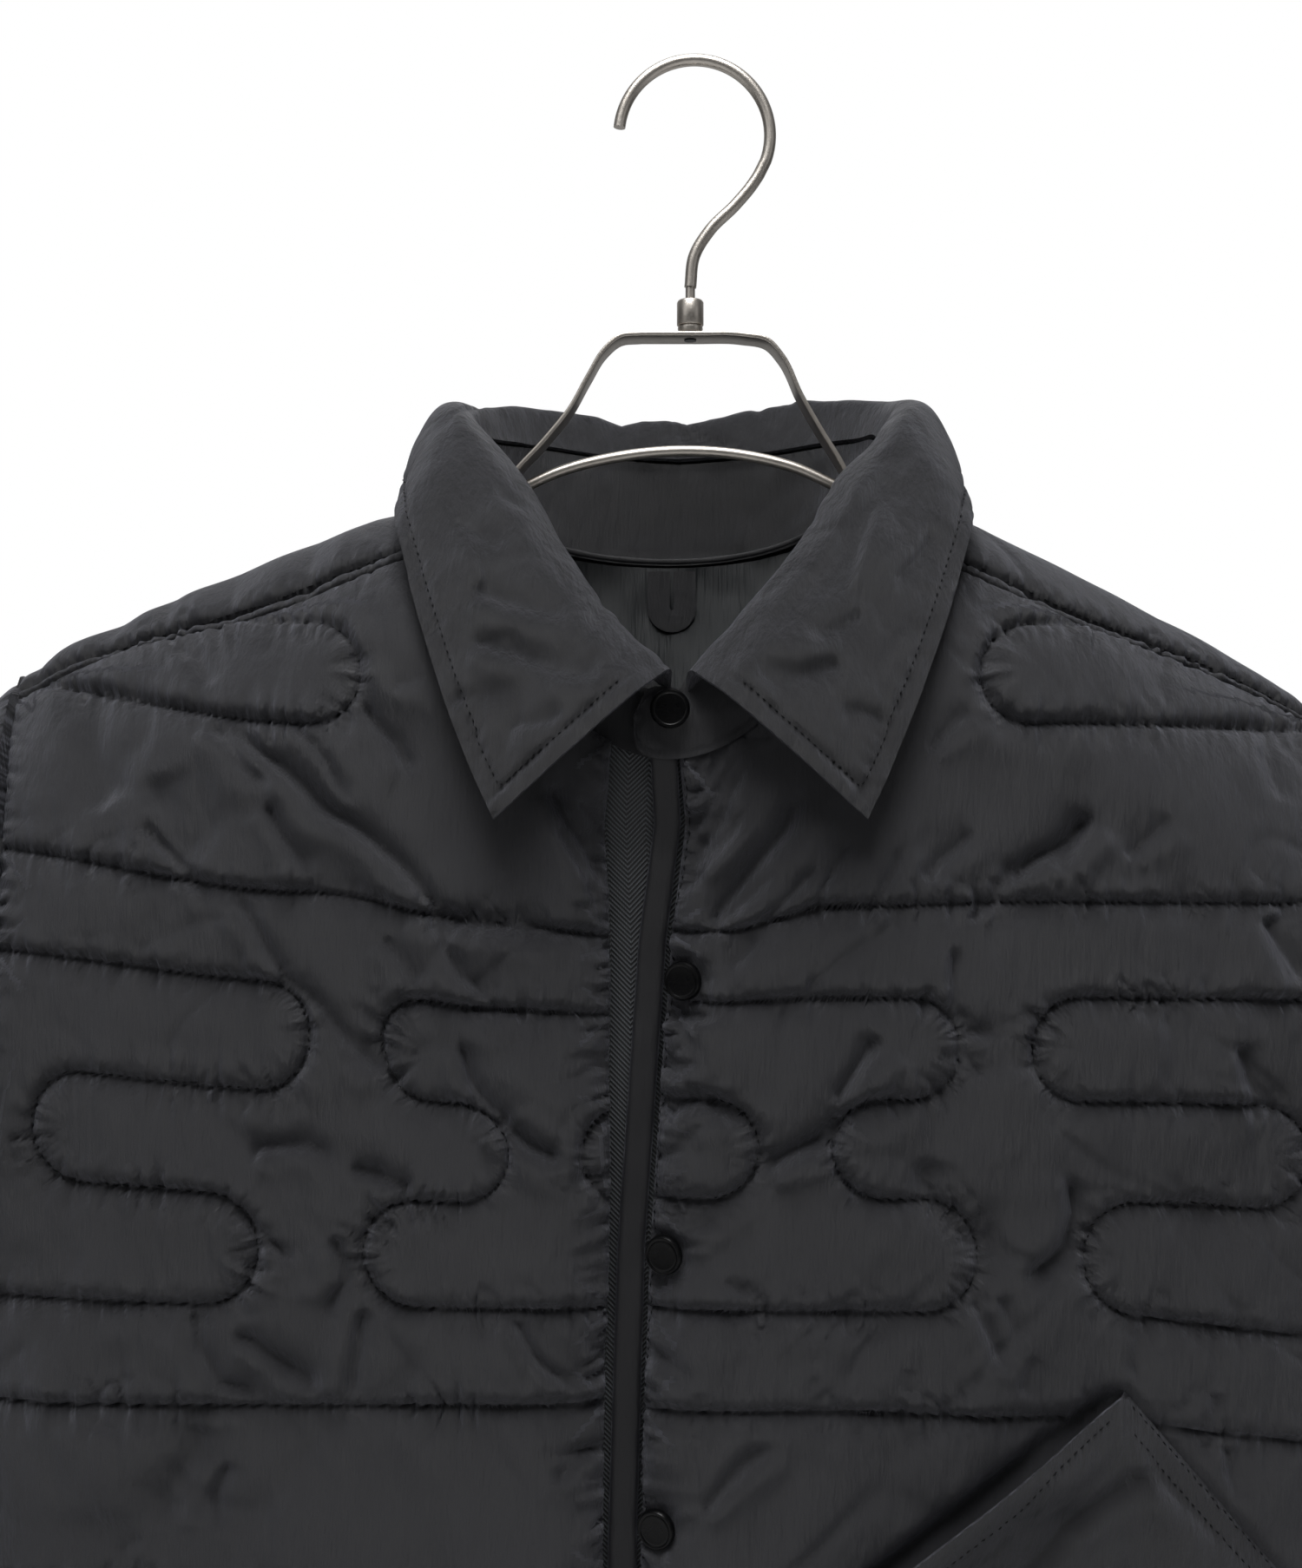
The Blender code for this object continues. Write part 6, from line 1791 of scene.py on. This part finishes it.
def hook_arc(count):
    x, z = HOOK_CENTRE
    return [(x + HOOK_RADIUS * cos(a), z + HOOK_RADIUS * sin(a))
            for a in np.linspace(HOOK_END_ANGLE, HOOK_LEAVES_ANGLE, count)]


def hook_line():
    """The hook's arc, then its tail, a smooth curve that goes on the way the arc ends."""
    tail = smooth_path([*hook_arc(30)[-2:], *HOOK_TAIL], 60)
    return np.array(hook_arc(120) + [tuple(point) for point in tail[9:]])


def bracket_line():
    halves = []
    for side, bracket in ((LEFT, BRACKET_LEFT), (RIGHT, BRACKET_RIGHT)):
        arm_u = np.linspace(ARM_FROM, ARM_HALF, 5)
        arm = list(zip(CENTRE_X + side * arm_u, ridge_z(side, arm_u) - ARM_BELOW_RIDGE))
        halves.append(smooth_path(list(bracket) + arm, 150))
    return np.concatenate([halves[1][::-1], halves[0]])


def make_bracket():
    path = bracket_line()
    mesh = bpy.data.meshes.new("hanger_bracket")
    points = [(x, y, z) for x, z in path for y in (-0.5 * BRACKET_DEPTH, 0.5 * BRACKET_DEPTH)]
    faces = [(2 * k, 2 * k + 1, 2 * k + 3, 2 * k + 2) for k in range(len(path) - 1)]
    mesh.from_pydata(points, [], faces)
    piece = placed("hanger_bracket", mesh, NICKEL)
    wall = piece.modifiers.new("thickness", "SOLIDIFY")
    wall.thickness, wall.offset, wall.use_even_offset = BRACKET_WALL, 0.0, True
    soft = piece.modifiers.new("soft edges", "BEVEL")
    soft.width, soft.segments, soft.limit_method, soft.angle_limit = BRACKET_EDGE, 2, "ANGLE", radians(60)
    mesh.shade_smooth()
    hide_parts("hanger_frame")


rod("hanger_hook_rod", hook_line(), ROD_RADIUS, "hanger_hook")
rod("hanger_lower_bar", smooth_path(BAR, 90), BAR_RADIUS, "hanger_bar")
ferrule = turned("hanger_ferrule_turned", [(r / 1000, z / 1000) for r, z in FERRULE_PROFILE],
                 NICKEL, "satin_nickel", 48)
ferrule.location = (FERRULE_X, 0.0, 0.0)
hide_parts("hanger_ferrule")
make_bracket()
# A thin disc in black paint under the bracket is painted shade: it stands for the dark inside of the rivet
# hole, which is not cut into the strip.
hole_shade = turned("hanger_rivet_hole_painted_shade", [(0.0, 0.0), (RIVET["hole_shade"], 0.0), (RIVET["hole_shade"], -RIVET["tall"]),
                                    (0.0, -RIVET["tall"])], SNAP_PAINT, "satin_nickel", 32)
hole_shade.location = (FERRULE_X, 0.0, -RIVET["below"])
print("hook line points:", len(hook_line()))

# %% [markdown]
# ## Stitches
# Every seam of a real jacket is made of single stitches. Each one here is a small spindle
# whose ends sink into the cloth, laid on the finished surface of its panel, at a machine's
# usual length of about 3 mm. All the stitches of a panel are one piece.

# %% stitch maker
STITCH = {"pitch": 0.0034, "share": 0.74, "half_width": 0.00033, "height": 0.00042, "sunk": 0.00012}
COLLAR_PITCH, EDGE_STITCH, MOUTH_STITCH = 0.0031, 0.0022, 0.0045
PATCH_STITCHES, PATCH_RIM_STITCH = (0.0022, 0.0085), 0.003


class Surface:
    """A panel's finished outer points, for laying things on it."""

    def __init__(self, grid, outward):
        self.points = grid.reshape(-1, 3)
        self.normals = normals_of(grid, outward).reshape(-1, 3)
        self.tree = nearest_tree(self.points)

    def laid(self, points):
        """The points moved square onto the surface, with its normal at each."""
        index = [self.tree.find(point)[1] for point in points]
        normal, near = self.normals[index], self.points[index]
        off = ((points - near) * normal).sum(axis=1, keepdims=True)
        return points - normal * off, normal


def sew(name, runs, surface, pitch=STITCH["pitch"], keep=None):
    """One piece made of all the stitches along the runs, each a spindle of eight triangles."""
    points, faces, width = [], [], STITCH["half_width"]
    for run in runs:
        run = np.asarray(run, float)
        if len(run) < 2:
            continue
        ends, _ = evenly(run, pitch)
        if len(ends) < 2:
            continue
        start = ends[:-1]
        stop = start + (ends[1:] - start) * STITCH["share"]
        if keep is not None:
            wanted = keep(0.5 * (start + stop))
            start, stop = start[wanted], stop[wanted]
        if not len(start):
            continue
        (a, normal_a), (b, normal_b) = surface.laid(start), surface.laid(stop)
        along = (b - a) / np.maximum(np.linalg.norm(b - a, axis=1, keepdims=True), 1e-9)
        normal = normal_a + normal_b
        normal /= np.linalg.norm(normal, axis=1, keepdims=True)
        square = np.cross(along, normal)
        sunk = normal * STITCH["sunk"]
        middle = 0.5 * (a + b) + sunk
        corners = np.stack([a - sunk, b - sunk, middle + square * width, middle + normal * STITCH["height"],
                            middle - square * width, middle - normal * STITCH["height"]], axis=1)
        for stitch in corners:
            first = len(points)
            points.extend(map(tuple, stitch))
            for k in range(4):
                one, two = first + 2 + k, first + 2 + (k + 1) % 4
                faces += [(first, one, two), (first + 1, two, one)]
    mesh = bpy.data.meshes.new(name)
    mesh.from_pydata(points, [], faces)
    mesh.shade_smooth()
    placed(name, mesh, THREAD)
    print(name, len(faces) // 8, "stitches")


def in_space(side, line, front=True):
    """A line of the flat quilting layout, as points on the plain form."""
    a, b = line[:, 0], line[:, 1]
    z = b.copy()
    if front:
        for _ in range(5):
            z = b + sag(side, a, z)
    half = side_half(side, z)
    top = ridge_z(side, a) - np.where(front, seam_drop(a) + 0.002, -1.0)
    good = (a < half - 0.003) & (z < top) & (z > HEM_Z + 0.003)
    if front:
        good &= a > edge_half(WORD[side], z) + 0.001
    return body_point(side, a[good], z[good], front)


# %% stitches of the shell
def visible_front(side):
    def keep(points):
        x, z = points[:, 0], points[:, 2]
        hidden = inside_outline(x, z, LEAF_OUTLINES[side], 0.003) > 0.6
        if side == LEFT:
            hidden |= inside_outline(x, z, PATCH_OUTLINE, 0.003) > 0.5
        return ~hidden
    return keep


def edge_run(side, inset, low=HEM_Z + 0.004, high=-0.272):
    z = np.linspace(high, low, 400)
    u = edge_half(WORD[side], z) + inset
    return body_point(side, u, z, True)


def hem_run(side, front, above=HEM_STITCH):
    z = HEM_Z + above
    first = edge_half(WORD[side], z) + 0.003 if front else 0.0
    u = np.linspace(first, side_half(side, z) - 0.003, 300)
    return body_point(side, u, np.full(u.shape, z), front)


for side in (RIGHT, LEFT):
    surface = Surface(FRONTS[side][1], TO_FRONT)
    runs = [in_space(side, line) for line in QUILT] + [hem_run(side, True)]
    sew(f"stitches_front_{WORD[side]}", runs, surface, keep=visible_front(side))
    if side == LEFT:
        sew("stitches_front_edge", [edge_run(side, EDGE_STITCH)], surface, keep=visible_front(side))

back_surface = Surface(BACK[1], TO_BACK)
runs = []
for side in (RIGHT, LEFT):
    runs += [in_space(side, line[line[:, 1] < -0.24], False) for line in QUILT] + [hem_run(side, False)]
    u = np.linspace(0.085, SHOULDER_HALF - 0.002, 260)
    start = -run_of(u, seam_drop(u))
    runs.append(over_shoulder(side, u, start + FORWARD_STITCH))
sew("stitches_back", runs, back_surface)

# %% stitches of collar and pocket
def inset_runs(outer, rim, inset, rows_from):
    """Lines on a leaf that stay a fixed distance inside its edge, one per side of the corner."""
    rows, columns = rim.shape
    edge_line = []
    for c in range(columns):
        column = rim[:, c]
        below = np.nonzero(column[rows_from:] > inset)[0]
        if len(below):
            edge_line.append(outer[rows_from + below[-1], c])
    front_lines = []
    for order in (1, -1):
        line = []
        for r in range(rows_from, rows):
            past = np.nonzero(rim[r, ::order] > inset)[0]
            if len(past):
                line.append(outer[r, ::order][past[0]])
        front_lines.append(np.array(line))
    return [np.array(edge_line)] + front_lines


leaf_surface = Surface(LEAF_OUTER, LEAF_OUTER - LEAF_OUTER.mean(axis=(0, 1)))
sew("stitches_collar", inset_runs(LEAF_OUTER, LEAF_RIM, LEAF_STITCH["inset"], 16), leaf_surface,
    pitch=COLLAR_PITCH)

x = np.linspace(POCKET["apex"][0] + 0.002, POCKET["right"] - 0.002, 120)
runs = []
for inset in PATCH_STITCHES:
    z = pocket_top(x) - inset / 0.66
    runs.append(body_point(LEFT, x - CENTRE_X, z, True))
low = POCKET["bottom"] + PATCH_RIM_STITCH
for at in (POCKET["left"] + PATCH_RIM_STITCH, POCKET["right"] - PATCH_RIM_STITCH):
    z = np.linspace(float(pocket_top(np.array(at))) - 0.006, low, 100)
    runs.append(body_point(LEFT, np.full(z.shape, at - CENTRE_X), z, True))
x = np.linspace(POCKET["left"] + PATCH_RIM_STITCH, POCKET["right"] - PATCH_RIM_STITCH, 100)
runs.append(body_point(LEFT, x - CENTRE_X, np.full(x.shape, low), True))
x = np.linspace(POCKET["left"] + 0.004, POCKET["apex"][0] - 0.004, 100)
runs.append(body_point(LEFT, x - CENTRE_X, pocket_top(x) - MOUTH_STITCH, True))
patch_surface = Surface(PATCH_OUTER, TO_FRONT)
sew("stitches_pocket", runs, patch_surface)
print("sewn")
